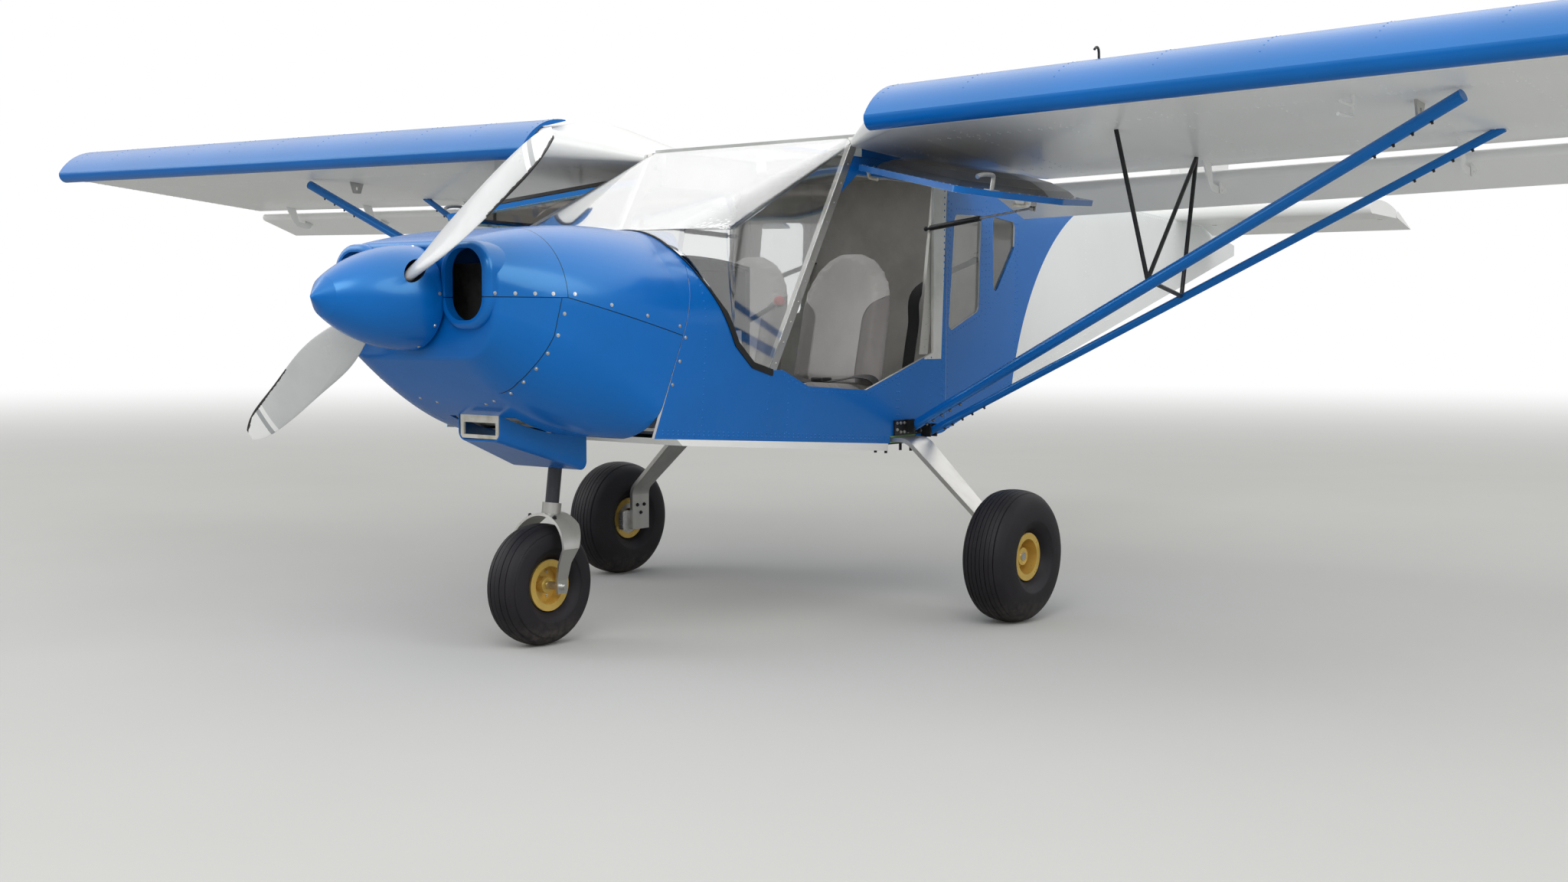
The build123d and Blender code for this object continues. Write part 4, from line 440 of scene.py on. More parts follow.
weave = addNode(tree, "ShaderNodeTexVoronoi", {"Vector": spot, "Scale": 420.0}).outputs[0]
cover(tree, shader, blendColour(tree, padMask, pale["Colour"], dark["Colour"]), pale, 0.22,
      calc(tree, "ADD", pale["Height"], weave))

nodeFinish = {
    "bluePaint": ("scoop", "slat_left", "slat_right", "lift_struts", "spinner"),
    "cowlPaint": ("cowl_upper", "cowl_lower", "boot_cowl"),
    "shellBlue": ("cabin_side_left", "cabin_side_right", "roof_frame"),
    "shellTwoTone": ("rear_cabin", "tail_cone"),
    "whitePaint": ("belly_pan", "wing_left", "wing_right", "flaperon_brackets", "stabiliser", "elevator",
                   "rudder", "flaperon_left", "flaperon_right"),
    "engineMetal": ("engine",),
    "bareAluminium": ("firewall", "cabin_floor", "cabin_posts", "tie_downs", "main_spring", "nose_fork"),
    "windshieldGlass": ("windshield",),
    "clearGlass": ("cabin_windows",),
    "smokeGlass": ("door_glass_left", "door_glass_right"),
    "sealRubber": ("windshield_seal",),
    "greyPaint": ("rear_bulkhead",),
    "darkMetal": ("gear_fittings", "gear_clamps", "jury_struts", "control_column", "gas_cylinder_left",
                  "gas_cylinder_right"),
    "legPaint": ("nose_leg",),
    "steel": ("main_axles", "rudder_spindle", "propeller_shaft", "nose_axle", "gas_rod_left",
              "gas_rod_right"),
    "panelBlack": ("instrument_panel",),
    "bladePaint": ("propeller_blades",),
    "goldAluminium": ("nose_rim", "main_rim_left", "main_rim_right"),
    "tyreRubber": ("nose_tyre", "main_tyre_left", "main_tyre_right"),
    "doorEdgeLeft": ("door_frame_left",),
    "doorEdgeRight": ("door_frame_right",),
}
for finishName, members in nodeFinish.items():
    for member in members:
        slots = nodes[member].data.materials
        for index in range(len(slots)):
            slots[index] = materials[finishName]
        if not len(slots):
            slots.append(materials[finishName])
print("materials on", sum(len(m) for m in nodeFinish.values()), "nodes")


# rivets, screws and bolts
def treeOf(*names):
    points, faces = [], []
    for name in names:
        start = len(points)
        points += [v.co.copy() for v in nodes[name].data.vertices]
        faces += [tuple(start + i for i in p.vertices) for p in nodes[name].data.polygons]
    return BVHTree.FromPolygons(points, faces)


def headTree(name, sides, taper, washer):
    # a fastener's head on every point, its axis along the point's own direction
    tree = bpy.data.node_groups.new(name, "GeometryNodeTree")
    for label, kind in (("Geometry", "Geometry"), ("Head Radius", "Float"), ("Head Height", "Float"),
                        ("Finish", "Material")):
        tree.interface.new_socket(label, in_out="INPUT", socket_type="NodeSocket" + kind)
    tree.interface.new_socket("Geometry", in_out="OUTPUT", socket_type="NodeSocketGeometry")
    source, result = tree.nodes.new("NodeGroupInput").outputs, tree.nodes.new("NodeGroupOutput").inputs
    shape = addNode(tree, "GeometryNodeMeshCone", {
        "Vertices": sides, "Radius Top": taper, "Radius Bottom": 1.0, "Depth": 1.0}).outputs["Mesh"]
    if washer:
        ring = addNode(tree, "GeometryNodeMeshCone", {
            "Vertices": 12, "Radius Top": washer, "Radius Bottom": washer * 1.05, "Depth": 0.3})
        both = tree.nodes.new("GeometryNodeJoinGeometry")
        tree.links.new(shape, both.inputs[0])
        tree.links.new(ring.outputs["Mesh"], both.inputs[0])
        shape = both.outputs[0]
    size = addNode(tree, "ShaderNodeCombineXYZ", {
        0: source["Head Radius"], 1: source["Head Radius"], 2: source["Head Height"]})
    aim = addNode(tree, "GeometryNodeInputNamedAttribute", {"Name": "aim"}, data_type="FLOAT_VECTOR")
    heading = addNode(tree, "FunctionNodeAlignRotationToVector", {"Vector": aim.outputs[0]}, axis="Z")
    spots = addNode(tree, "GeometryNodeMeshToPoints", {"Mesh": source["Geometry"]})
    heads = addNode(tree, "GeometryNodeInstanceOnPoints", {
        "Points": spots.outputs[0], "Instance": shape, "Rotation": heading.outputs[0],
        "Scale": size.outputs[0]})
    real = addNode(tree, "GeometryNodeRealizeInstances", {0: heads.outputs[0]})
    coloured = addNode(tree, "GeometryNodeSetMaterial", {
        "Geometry": real.outputs[0], "Material": source["Finish"]})
    tree.links.new(coloured.outputs[0], result[0])
    return tree


rivetTree = headTree("rivetHeads", 7, 0.55, 0)
screwTree = headTree("screwHeads", 10, 0.7, 1.5)
boltTree = headTree("boltHeads", 6, 0.96, 1.35)


def applyHeads(name, tree, spots, radius, height, finishName, body="airframe"):
    # spots are points with the direction each head looks
    mesh = bpy.data.meshes.new(name + "Points")
    mesh.from_pydata([tuple(p) for p, _ in spots], [], [])
    aim = mesh.attributes.new("aim", "FLOAT_VECTOR", "POINT")
    aim.data.foreach_set("vector", [c for _, n in spots for c in n])
    holder = addObject(name + "Holder", mesh)
    modifier = holder.modifiers.new("heads", "NODES")
    modifier.node_group = tree
    values = {"Head Radius": radius, "Head Height": height, "Finish": materials[finishName]}
    for item in tree.interface.items_tree:
        if item.name in values:
            modifier[item.identifier] = values[item.name]
    made = bakedMesh(holder)
    made.name = name
    addPiece(name, made, body, finishName)


def along(corners, pitch):
    # evenly spaced points along a run of corners
    found = []
    for a, b in zip(corners, corners[1:]):
        a, b = Vector(a), Vector(b)
        count = max(int((b - a).length / pitch), 1)
        found += [a.lerp(b, i / count) for i in range(count)]
    return found + [Vector(corners[-1])]


def castAll(tree, rays):
    # where rays from a point along a direction meet a tree, with the face's direction there
    found = []
    for start, way in rays:
        spot, normal, _, _ = tree.ray_cast(start, way)
        if spot is not None:
            found.append((spot, -normal if normal.dot(way) > 0 else normal))
    return found


def fromSides(tree, points):
    # points seen from both sides, as station and height
    return castAll(tree, [(place(p[0], p[1], side * 1400), Vector((-side, 0, 0)))
                          for side in (1, -1) for p in points])


def inPlan(tree, points, up):
    # points on both sides seen from below or above, as distance from the middle and station
    start, way = (300, 1) if up else (2600, -1)
    return castAll(tree, [(place(p[1], start, side * p[0]), Vector((0, 0, way)))
                          for side in (1, -1) for p in points])


sideRows = dict(pitch=26, rows=(
    ((1030, 770), (2350, 684)), ((1030, 782), (2350, 696)), ((1600, 950), (1585, 745)),
    ((1716, 930), (1702, 745)), ((1690, 955), (1838, 893), (2200, 868), (2650, 1006)),
    ((2410, 932), (2402, 778)), ((2424, 932), (2416, 778)), ((2655, 990), (2640, 735)),
    ((2740, 1740), (2740, 712)), ((2725, 990), (2725, 715)), ((1270, 1330), (1230, 790))))
rearRows = dict(pitch=27, rows=(
    ((2775, 1730), (2775, 720)), ((2800, 1640), (2769, 1090), (3090, 1178)), ((2850, 1622), (3100, 1632)),
    ((3116, 1625), (3112, 1200)), ((3155, 1700), (3150, 860)), ((3190, 1630), (3186, 1235)),
    ((3245, 1632), (3460, 1622)), ((3205, 1215), (3330, 1318), (3468, 1455)), ((2790, 712), (3465, 885)),
    ((2790, 724), (3465, 897)), ((2800, 1765), (3470, 1742)), ((3476, 1700), (3476, 900))))
coneRows = dict(pitch=30, rows=(
    ((3495, 890), (6000, 1510)), ((3495, 1755), (6000, 1690)), ((3495, 900), (3495, 1740)),
    ((4300, 1090), (4300, 1735)), ((5100, 1290), (5100, 1715)), ((5590, 1410), (5590, 1700)),
    ((6060, 1540), (6060, 1688))))
cabinTree = treeOf("cabin_side_left", "cabin_side_right")
sideSpots, blueSpots, whiteSpots, slatSpots = [], [], [], []
for row in sideRows["rows"]:
    sideSpots += fromSides(cabinTree, along(row, sideRows["pitch"]))
applyHeads("sideRivets", rivetTree, sideSpots, 0.0042, 0.0016, "bluePaint")
rearTree = treeOf("rear_cabin", "tail_cone")
for group in (rearRows, coneRows):
    for row in group["rows"]:
        for spot, normal in fromSides(rearTree, along(row, group["pitch"])):
            dy, dz = spot.y - paintArc["y"], spot.z - paintArc["z"]
            pale = dy > 0 or math.hypot(dy, dz) < paintArc["radius"]
            (whiteSpots if pale else blueSpots).append((spot, normal))
applyHeads("rearRivets", rivetTree, blueSpots, 0.0042, 0.0016, "bluePaint")

# inboard of its cut-out the wing begins further back; fronts as station above and below
wingRows = dict(pitch=42, ribs=[700 + 383 * i for i in range(11)], stations=(2080, 2095, 2740, 2755, 2950),
                cutOut=880, inner=(2200, 2150), outer=(1960, 1930), rear=(2930, 2940))
wings = treeOf("wing_left", "wing_right")
for x in wingRows["ribs"]:
    front = wingRows["outer" if x > wingRows["cutOut"] else "inner"]
    for up in (True, False):
        corners = ((x, front[up]), (x, wingRows["rear"][up]))
        whiteSpots += inPlan(wings, along(corners, wingRows["pitch"]), up)
for station in wingRows["stations"]:
    for up in (True, False):
        whiteSpots += inPlan(wings, along(((900, station), (4500, station)), wingRows["pitch"]), up)
applyHeads("paleRivets", rivetTree, whiteSpots, 0.004, 0.0014, "whitePaint")
slats = treeOf("slat_left", "slat_right")
for x in [900 + 355 * i for i in range(11)]:
    slatSpots += inPlan(slats, along(((x, 1760), (x, 1940)), 28), False)
slatSpots += inPlan(slats, along(((900, 1942), (4530, 1942)), 36), False)
applyHeads("slatRivets", rivetTree, slatSpots, 0.0038, 0.0014, "bluePaint")
print("rivets:", len(sideSpots) + len(blueSpots) + len(whiteSpots) + len(slatSpots))

# cowling screws beside the joints between the panels, then two a side in its lower face
cowlScrews = dict(
    sides=((409, 1240), (472, 1240), (536, 1240), (598, 1240), (676, 1240), (815, 1206), (966, 1171),
           (1118, 1136), (636, 1176), (613, 1107), (585, 1049), (566, 999), (556, 955), (560, 917),
           (1146, 1097), (1116, 1016), (1079, 937), (1034, 867)),
    below=((187, 586), (124, 607)))
cowls = treeOf("cowl_upper", "cowl_lower", "boot_cowl", "cabin_side_left", "cabin_side_right")
spots = fromSides(cowls, cowlScrews["sides"]) + inPlan(cowls, cowlScrews["below"], True)
applyHeads("cowlScrews", screwTree, spots, 0.0042, 0.0028, "steel")
ways = [Vector((-math.cos(math.radians(a)), 0, -math.sin(math.radians(a)))) for a in range(4, 364, 36)]
spots = castAll(treeOf("spinner"), [(place(374, thrustZ * 1000) - way * 0.5, way) for way in ways])
applyHeads("spinnerScrews", screwTree, spots, 0.004, 0.0026, "steel", "propeller")

# bolts: gear fittings, strut ends and wheels
fittingBolts = ((2396, 748), (2396, 722), (2420, 748), (2420, 712), (2446, 748), (2446, 712), (2472, 712),
                (2530, 712), (2560, 712), (2590, 716), (2620, 710), (2500, 748))
spots = [(place(s, z, side * 545), Vector((side, 0, 0))) for side in (1, -1) for s, z in fittingBolts]
applyHeads("fittingBolts", boltTree, spots, 0.0046, 0.005, "steel")

# each strut from foot to head, with its half depth and the bolts' distances from its ends
struts = (((2490, 735, 560), (2091, 1806, 2771), 0.021), ((2606, 705, 560), (2750, 1772, 2693), 0.015))
strutBolts = dict(foot=(0.07, 0.11, 0.16, 0.21, 0.27), head=(0.06, 0.13, 0.2, 0.27), sunk=0.001)
spots = []
for side in (1, -1):
    for foot, head, halfDepth in struts:
        foot, head = [place(s, z, side * x) for s, z, x in (foot, head)]
        way = (head - foot).normalized()
        down = (Vector((0, 0, -1)) - way * way.dot(Vector((0, 0, -1)))).normalized()
        drop = down * (halfDepth - strutBolts["sunk"])
        spots += [(foot + way * distance + drop, down) for distance in strutBolts["foot"]]
        spots += [(head - way * distance + drop, down) for distance in strutBolts["head"]]
applyHeads("strutBolts", boltTree, spots, 0.0046, 0.009, "darkMetal")


def boltCircle(middle, radius, firstAngle, side):
    # six bolts round a wheel's middle, on one face of it
    ring = turned(middle, [(side * 0.006, radius)], 0, 360)[0]
    return [(ring[60 * step + firstAngle], Vector((side, 0, 0))) for step in range(6)]


noseHub = place(962, 217)
for side, name in hands:
    spots = boltCircle(mainHub(side), 0.052, 20, side)
    applyHeads("rimBolts_" + name, boltTree, spots, 0.0048, 0.006, "steel", "wheel_" + name)
spots = boltCircle(noseHub, 0.05, 0, 1) + boltCircle(noseHub, 0.05, 0, -1)
applyHeads("noseRimBolts", boltTree, spots, 0.0044, 0.006, "steel", "nose_wheel")

# bolts in the lower ends of the main spring and the crown of the fork
ends = ((2428, 322), (2472, 322), (2450, 286))
rays = [(place(s, z, side * 700), Vector((side, 0, 0))) for side in (1, -1) for s, z in ends]
spots = castAll(treeOf("main_spring"), rays)
applyHeads("springBolts", boltTree, spots, 0.0062, 0.007, "darkMetal")
rays = [(place(s, 900, x), Vector((0, 0, -1))) for s in (948, 976) for x in (-62, 62)]
spots = castAll(treeOf("nose_fork"), rays)
applyHeads("forkBolts", boltTree, spots, 0.006, 0.009, "darkMetal", "nose_strut")

# rivets down the posts, each row with its pitch
postRows = ((((1640, 1000), (2118, 1826)), 84), (((2618, 1050), (2640, 1230)), 26),
            (((2632, 1050), (2654, 1230)), 26), (((2655, 1280), (2725, 1720)), 90))
posts = treeOf("cabin_posts")
spots = [hit for row, pitch in postRows for hit in fromSides(posts, along(row, pitch))]
applyHeads("postRivets", rivetTree, spots, 0.0042, 0.0016, "steel")
print("screws and bolts set")

# tyres with ribbed tread, in millimetres
tyreLook = {
    "main": dict(radius=255, half=103, rim=84, bead=58.7, width=3.4, depth=5.5,
                 grooves=(-62, -44, -26, -8, 10, 28, 46, 62)),
    "nose": dict(radius=217, half=79, rim=84, bead=42.7, width=3.2, depth=5.0,
                 grooves=(-44, -22, 0, 22, 44)),
}


def tyreSection(look):
    # section from one bead to the other as distance across and radius, with grooves in the tread
    r, h, rim, bead = look["radius"], look["half"], look["rim"], look["bead"]
    half = curveThrough([
        (bead, rim + 12), (h * 0.8, rim + 27), (h * 0.94, rim + 48),
        (h * 0.975, (rim + 12 + r - h * 0.62) / 2), (h * 0.965, r - h * 0.8), (h * 0.9, r - h * 0.62 + 14),
        (h * 0.82, r - 32), (h * 0.72, r - 20), (h * 0.6, r - 11), (h * 0.45, r - 5), (h * 0.2, r - 1),
        (0, r)], 5)
    full = [(p[0], p[1]) for p in half] + [(-p[0], p[1]) for p in half[-2::-1]]
    made = []
    for (x0, r0), (x1, r1) in zip(full, full[1:]):
        made.append((x0, r0))
        for g in sorted(look["grooves"], reverse=True):
            if x1 < g <= x0 and min(r0, r1) > r - 34:
                top = r0 + (r1 - r0) * (x0 - g) / (x0 - x1)
                w, floor = look["width"] / 2, top - look["depth"]
                made += [(g + w, top), (g + w * 0.7, floor), (g - w * 0.7, floor), (g - w, top)]
    made.append(full[-1])
    # a groove's edge may not pass the next point of the tread
    made = [p for i, p in enumerate(made) if i == 0 or p[0] <= made[i - 1][0] + 1e-6 or p[1] < r - 40]
    made += [(-bead, rim + 0.4), (bead, rim + 0.4)]
    return [(across / 1000, radius / 1000) for across, radius in made]


def makeTyre(name, look, middle, body, replaced):
    rings = turned(middle, tyreSection(look), 0, 96)
    ringPiece(name, rings, "tyreRubber", body, True, 32, [replaced])


makeTyre("ribbedTyre_left", tyreLook["main"], mainHub(1), "wheel_left", "main_tyre_left")
makeTyre("ribbedTyre_right", tyreLook["main"], mainHub(-1), "wheel_right", "main_tyre_right")
makeTyre("ribbedTyre_nose", tyreLook["nose"], noseHub, "nose_wheel", "nose_tyre")
print("tyres made")


# small bent and rounded pieces
def pipe(name, points, radius, finishName, body="airframe"):
    curve = bpy.data.curves.new(name, "CURVE")
    curve.dimensions = "3D"
    curve.bevel_depth = radius
    curve.bevel_resolution = 3
    curve.use_fill_caps = True
    line = curve.splines.new("NURBS")
    line.points.add(len(points) - 1)
    for knot, p in zip(line.points, points):
        knot.co = (*p, 1)
    line.order_u = 3
    line.use_endpoint_u = True
    mesh = bakedMesh(addObject(name + "Line", curve))
    mesh.name = name
    addPiece(name, smoothMesh(mesh, 50), body, finishName)


def roundedSlab(name, low, high, rounding, finishName, segments=3, replaced=()):
    work = bmesh.new()
    bmesh.ops.create_cube(work, size=1.0)
    for v in work.verts:
        v.co = Vector([(h + l) / 2 + c * (h - l) for l, h, c in zip(low, high, v.co)])
    bmesh.ops.bevel(work, geom=list(work.edges), offset=rounding, segments=segments, affect="EDGES",
                    profile=0.5)
    mesh = bpy.data.meshes.new(name)
    work.to_mesh(mesh)
    work.free()
    addPiece(name, smoothMesh(mesh, 50), "airframe", finishName, replaced)


# seats: padded back and cushion over a base
def puff(piece, cap):
    # the padding's swell: cloth under pressure, each point held near where it began
    mesh = piece.data
    before = [v.co.copy() for v in mesh.vertices]
    cloth = piece.modifiers.new("swell", "CLOTH")
    cloth.settings.use_pressure = True
    cloth.settings.uniform_pressure_force = seatLook["swell"]
    cloth.settings.effector_weights.gravity = 0
    cloth.settings.quality = 4
    scene = bpy.context.scene
    for step in range(1, 15):
        scene.frame_set(step)
    ready = piece.evaluated_get(bpy.context.evaluated_depsgraph_get())
    after = [v.co.copy() for v in ready.data.vertices]
    piece.modifiers.remove(cloth)
    scene.frame_set(1)
    for v, a, b in zip(mesh.vertices, before, after):
        way = b - a
        v.co = a + (way if way.length < cap else way.normalized() * cap)


def padOf(name, rings):
    # an even skin round the rings, swollen and then rounded
    form = addObject(name + "Form", ringMesh(name + "Form", rings))
    even = form.modifiers.new("even", "REMESH")
    even.mode = "VOXEL"
    even.voxel_size = seatLook["voxel"]
    pad = addPiece(name, bakedMesh(form), "airframe", "seatCloth")
    puff(pad, seatLook["cap"])
    holder = addObject("rounding", pad.data)
    rounding = holder.modifiers.new("rounding", "SUBSURF")
    rounding.levels = rounding.render_levels = 1
    pad.data = smoothMesh(bakedMesh(holder), 75)
    pad.data.materials.clear()
    pad.data.materials.append(materials["seatCloth"])
    return pad


def backRing(share, x):
    # one level of the seat's back: pale middle a little hollow, side pads proud of it
    z = 0.892 + share * 0.545
    narrowing = math.sqrt(max(1 - ((share - 0.5) / 0.51) ** 2.6, 0.02)) if share >= 0.5 else 1
    half = seatLook["half"] * narrowing
    front = 2.318 + share * 0.128 - noseStation
    rearY = 2.405 + share * 0.100 - noseStation - 0.012 * max(share - 0.9, 0) / 0.1
    padDepth = 0.016 * min(1, max(0, (0.80 - share) / 0.2))
    ring = []
    for i in range(29):
        u = -1 + 2 * i / 28
        bolster = padDepth * math.exp(-((abs(u) - 0.76) / 0.16) ** 2)
        ring.append(Vector((x + u * half, front - bolster + 0.026 * abs(u) ** 6 + 0.008, z)))
    return ring + [Vector((p.x, rearY - 0.030 * abs((p.x - x) / half) ** 4, z)) for p in ring[::-1]]


def cushionRing(share, x):
    # one station of the seat cushion, crowned and rolled over at the front
    y = 1.962 + share * 0.352 - noseStation
    top = 0.905 - 0.018 * share - 0.05 * max(0, 0.12 - share) / 0.12
    half = 0.212 - 0.02 * max(0, 0.1 - share) / 0.1
    ring = []
    for i in range(21):
        u = -1 + 2 * i / 20
        crown = 0.012 * math.exp(-((abs(u) - 0.7) / 0.2) ** 2)
        ring.append(Vector((x + u * half, y, top - 0.03 * abs(u) ** 5 + crown)))
    return ring + [Vector((p.x, y, 0.815 + 0.01 * abs((p.x - x) / half) ** 4)) for p in ring[::-1]]


for side, name in hands:
    x = side * seatLook["middle"]
    pad = padOf("seatBack_" + name, [backRing(i / 22, x) for i in range(23)])
    pad = padOf("seatCushion_" + name, [cushionRing(i / 14, x) for i in range(15)])
    low, high = place(1990, 746, x * 1000 - 190), place(2400, 822, x * 1000 + 190)
    replaced = ["seats"] if side == 1 else ()
    roundedSlab("seatBase_" + name, low, high, 0.02, "panelBlack", replaced=replaced)
print("seats padded")

# piping along the border between the middle and the side pads
for side, name in hands:
    skin = bpy.data.objects["seatBack_" + name].data
    tree = BVHTree.FromPolygons([v.co for v in skin.vertices], [tuple(p.vertices) for p in skin.polygons])
    for hand, tag in ((1, "outer"), (-1, "inner")):
        run = []
        for i in range(30):
            z = 0.93 + i / 29 * 0.36
            flare = min(max((z - 1.13) / 0.18, 0), 1)
            flare = (flare * flare * (3 - 2 * flare)) ** 2
            offset = min(seatLook["border"] + seatLook["flare"] * flare, 0.2)
            start = Vector((side * (seatLook["middle"] + hand * offset), 1.6 - noseStation, z))
            hit = tree.ray_cast(start, Vector((0, 1, 0)))[0]
            if hit:
                run.append(hit)
        pipe("seatPiping_" + name + "_" + tag, run, 0.0028, "seatCloth")


# belts
def strap(name, points, across):
    # a flat strap along points, its width along across
    width, thick = 0.046, 0.003
    across = Vector(across).normalized()
    rings = []
    for i, p in enumerate(points):
        way = (points[min(i + 1, len(points) - 1)] - points[max(i - 1, 0)]).normalized()
        wide = (across - way * across.dot(way)).normalized()
        up = way.cross(wide).normalized() * thick / 2
        wide *= width / 2
        rings.append([p + wide + up, p + up, p - wide + up, p - wide - up, p - up, p + wide - up])
    ringPiece(name, rings, "webbing")


lapKnots = ((2345, 850, 488), (2330, 918, 478), (2290, 934, 430), (2250, 918, 350), (2225, 912, 270),
            (2250, 916, 170), (2300, 930, 90), (2335, 900, 44))
hangKnots = ((2700, 1290, 444), (2655, 1130, 441), (2620, 960, 438), (2600, 800, 436))
bulkhead = treeOf("rear_bulkhead")
for side, name in hands:
    strap("lapBelt_" + name, curveThrough([place(s, z, side * x) for s, z, x in lapKnots]), (0, 1, 0.2))
    # the shoulder belt leaves the bulkhead and hangs down beside the seat
    anchor = castAll(bulkhead, [(place(2400, 1452, side * 450), Vector((0, 1, 0)))])[0][0]
    hang = [anchor, anchor + Vector((0, -0.012, -0.03))] + [place(s, z, side * x) for s, z, x in hangKnots]
    strap("shoulderBelt_" + name, curveThrough(hang), (1, 0.5, 0))
    low, high = place(2196, 914, side * 290 - 30), place(2262, 930, side * 290 + 30)
    roundedSlab("buckle_" + name, low, high, 0.005, "darkMetal")
print("belts laid")


# door levers, pulls, latches and rivets
def onDoor(side, station, distance, offset):
    # a point of an open door: along the hinge, away from it, and out of the door's outer face
    sine, cosine = math.sin(doorHinge["swing"]), math.cos(doorHinge["swing"])
    away, outward = Vector((side * sine, 0, -cosine)), Vector((side * cosine, 0, sine))
    hinge = place(station, doorHinge["z"], side * doorHinge["x"])
    return hinge + away * distance / 1000 + outward * offset / 1000


doorFittings = dict(
    lever=((1800, 808, 8), (1800, 808, 46), (1798, 808, 60), (1780, 808, 64), (1715, 806, 60),
           (1700, 806, 50)),
    plate=((1776, 792), (1824, 794), (1824, 822), (1776, 820)),
    pull=((2010, 824, -9), (2010, 824, -26), (2002, 824, -30), (1930, 821, -30)),
    latch=((2130, 40, -9), (2130, 46, -30), (2128, 60, -34), (2126, 92, -34)),
    rivets=((2110, 36), (2730, 36), (2662, 696), (2200, 840), (1838, 815), (1668, 753), (2092, 36)))
for side, name in hands:
    body = "door_" + name
    lever, pull, latch = [
        [onDoor(side, *p) for p in doorFittings[key]] for key in ("lever", "pull", "latch")]
    pipe("doorLever_" + name, lever, 0.0078, "steel", body)
    rings = [[onDoor(side, s, d, o) for s, d in doorFittings["plate"]] for o in (10.4, 14)]
    ringPiece("doorLeverPlate_" + name, rings, "steel", body, angle=38)
    pipe("doorPull_" + name, pull, 0.006, "ductWhite", body)
    pipe("doorLatch_" + name, latch, 0.007, "ductWhite", body)
    rays = []
    for s, d in along(doorFittings["rivets"], 52):
        for way in (1, -1):
            start = onDoor(side, s, d, way * 30)
            rays.append((start, (onDoor(side, s, d, 0) - start).normalized()))
    spots = castAll(treeOf("door_frame_" + name), rays)
    applyHeads("doorRivets_" + name, rivetTree, spots, 0.0035, 0.0012, "steel", body)

# grips of the control column, pads of the main spring, probe and fuel vent
gripProfile = ((-0.020, 0.008), (-0.014, 0.019), (-0.004, 0.0222), (0.006, 0.0215), (0.016, 0.015),
               (0.021, 0.004))
springPads = dict(stations=(2351, 2549), ends=(449, 533),
                  levels=((692.2, 698, "upper"), (669, 674.8, "lower")))
for side, name in hands:
    rings = turned(place(2013, 1232, side * 245), gripProfile, 2, 24)
    ringPiece("gripKnob_" + name, rings, "knobRed")
    inner, outer = sorted(side * x for x in springPads["ends"])
    front, back = springPads["stations"]
    for low, high, tag in springPads["levels"]:
        low, high = place(front, low, inner), place(back, high, outer)
        roundedSlab("springPad_" + name + "_" + tag, low, high, 0.0015, "padGreen", 2)

smallPipes = {
    "probePost": dict(x=2500, radius=0.006, finish="whitePaint", points=(
        (2050, 1880), (2050, 1800), (2048, 1790), (2030, 1786), (1930, 1786))),
    "probeArm": dict(x=2500, radius=0.006, finish="whitePaint", points=(
        (2050, 1822), (2000, 1822), (1945, 1826))),
    "fuelVent": dict(x=1640, radius=0.0045, finish="darkMetal", points=(
        (2004, 2000), (2004, 2052), (2000, 2072), (1985, 2078), (1972, 2066))),
}
for name, look in smallPipes.items():
    pipe(name, [place(s, z, look["x"]) for s, z in look["points"]], look["radius"], look["finish"])
print("small pieces made")

# scoop mouth: a plate with a slot, corners as x and height, ends as stations
scoopMouth = dict(frame=((-97, 751), (97, 751), (97, 853), (-97, 853)),
                  slot=((-81, 764), (81, 764), (81, 806), (-81, 806)), ends=(686, 694))
near, far = scoopMouth["ends"]
rings = [[place(s, z, x) for x, z in scoopMouth[ring]]
         for s, ring in ((near, "frame"), (far, "frame"), (far, "slot"), (near, "slot"))]
ringPiece("scoopMouth", rings, "ductWhite", closed=True, angle=38)

discProfile = ((-0.058, 0.046), (-0.058, 0.074), (-0.064, 0.075), (-0.064, 0.045))
for side, name in hands:
    rings = turned(mainHub(side), [(side * shift, radius) for shift, radius in discProfile], 0, 64)
    ringPiece("brakeDisc_" + name, rings, "steel", "wheel_" + name, True, 30)

# instruments on the panel
dialLook = dict(face=1500.4,
                rows=((1250, (-360, -250, -140, 140, 250, 360)), (1180, (-300, -190, 190, 300))),
                profile=((0.0, 0.041), (0.006, 0.041), (0.008, 0.038), (0.008, 0.034), (0.002, 0.033)))
for row, (z, columns) in enumerate(dialLook["rows"]):
    for column, x in enumerate(columns):
        rings = turned(place(dialLook["face"], z, x), dialLook["profile"], 1, 40)
        ringPiece("dial_%d_%d" % (row, column), rings, "darkMetal")


# floor, light and camera
def rayKinds(tree):
    # the light path, and 1 for rays that come straight from the camera or through glass
    path = addNode(tree, "ShaderNodeLightPath").outputs
    return path["Is Glossy Ray"], calc(tree, "MAXIMUM", path["Is Camera Ray"], path["Is Transmission Ray"])


floorMesh = bpy.data.meshes.new("studioFloor")
floorMesh.from_pydata([(-90, -90, 0), (90, -90, 0), (90, 90, 0), (-90, 90, 0)], [], [(0, 1, 2, 3)])
floor = addObject("studioFloor", floorMesh)
material = bpy.data.materials.new("studioFloorPaint")
tree = emptyTree(material)
spot = coordinate(tree)
fade = between(tree, vectorCalc(tree, "LENGTH", spot, output="Value"), 6.0, 26.0)
mottle = product(tree, noiseAt(tree, spot, 1.2, 5.0), 0.25)
shade = blendColour(tree, mottle, (0.60, 0.60, 0.58, 1), (0.50, 0.50, 0.48, 1))
glossy, direct = rayKinds(tree)
matte = addNode(tree, "ShaderNodeBsdfDiffuse")
tree.links.new(blendColour(tree, glossy, shade, (0.3, 0.3, 0.29, 1)), matte.inputs["Color"])
glow = addNode(tree, "ShaderNodeEmission", {"Color": white, "Strength": 1.0})
both = addNode(tree, "ShaderNodeMixShader", {
    0: product(tree, fade, direct), 1: matte.outputs[0], 2: glow.outputs[0]})
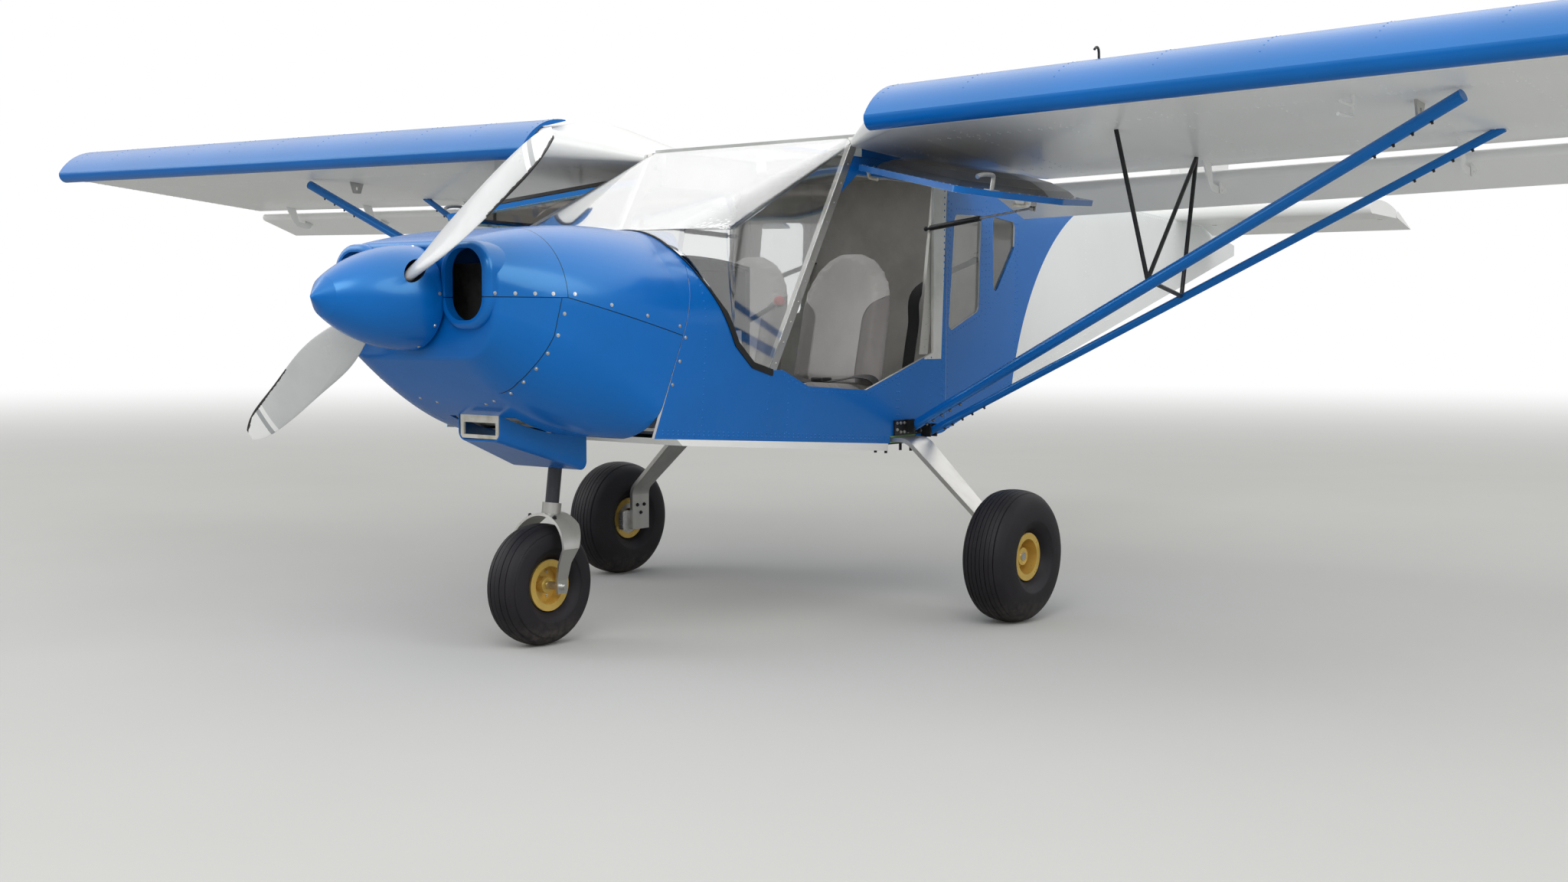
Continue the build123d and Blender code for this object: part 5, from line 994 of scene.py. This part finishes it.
addNode(tree, "ShaderNodeOutputMaterial", {0: both.outputs[0]})
floorMesh.materials.append(material)

# the sky is plain white to the camera, weaker as light, and in reflections brighter towards the top
skyLook = dict(light=0.74, low=0.32, high=1.7)
world = bpy.data.worlds.new("studioSky")
bpy.context.scene.world = world
tree = emptyTree(world)
glossy, direct = rayKinds(tree)
upward = axesOf(tree, coordinate(tree, "Generated"))[2]
mirrored = product(tree, between(tree, upward, -0.05, 0.75, skyLook["low"], skyLook["high"]), glossy)
lighting = product(tree, calc(tree, "SUBTRACT", 1.0, glossy), skyLook["light"])
strength = calc(tree, "MAXIMUM", direct, calc(tree, "ADD", mirrored, lighting))
sky = addNode(tree, "ShaderNodeBackground", {"Color": white, "Strength": strength})
addNode(tree, "ShaderNodeOutputWorld", {0: sky.outputs[0]})

lampAim = Vector((0, -0.6, 1.0))
lampLook = {"keyLamp": dict(at=(5.0, -9.0, 8.0), power=420, size=7.0),
            "fillLamp": dict(at=(-8.0, -6.0, 5.0), power=160, size=6.0),
            "sideLamp": dict(at=(24.0, 2.0, 13.0), power=1750, size=18.0)}
for name, look in lampLook.items():
    lamp = bpy.data.lights.new(name, "AREA")
    lamp.energy, lamp.size, lamp.shape = look["power"], look["size"], "DISK"
    holder = addObject(name, lamp)
    holder.location = look["at"]
    holder.rotation_euler = (lampAim - Vector(look["at"])).to_track_quat("-Z", "Y").to_euler()

cameraLook = dict(at=(4.5613, -6.6654, 1.1512), azimuth=0.6754, down=0.0687, roll=0.0014, lens=40.28,
                  shift=0.00097)
a, e, roll = cameraLook["azimuth"], cameraLook["down"], cameraLook["roll"]
back = Vector((math.sin(a) * math.cos(e), -math.cos(a) * math.cos(e), math.sin(e)))
acrossView = Vector((0, 0, 1)).cross(back).normalized()
upView = back.cross(acrossView)
acrossView, upView = (acrossView * math.cos(roll) + upView * math.sin(roll),
                      upView * math.cos(roll) - acrossView * math.sin(roll))
lens = bpy.data.cameras.new("photoCamera")
lens.lens, lens.sensor_width, lens.shift_y = cameraLook["lens"], 36.0, cameraLook["shift"]
lens.clip_end = 400
camera = addObject("photoCamera", lens)
facing = Matrix((acrossView, upView, back)).transposed().to_4x4()
camera.matrix_world = Matrix.Translation(Vector(cameraLook["at"])) @ facing
bpy.context.scene.camera = camera
bpy.context.scene.view_settings.view_transform = "Standard"
print("stage set")
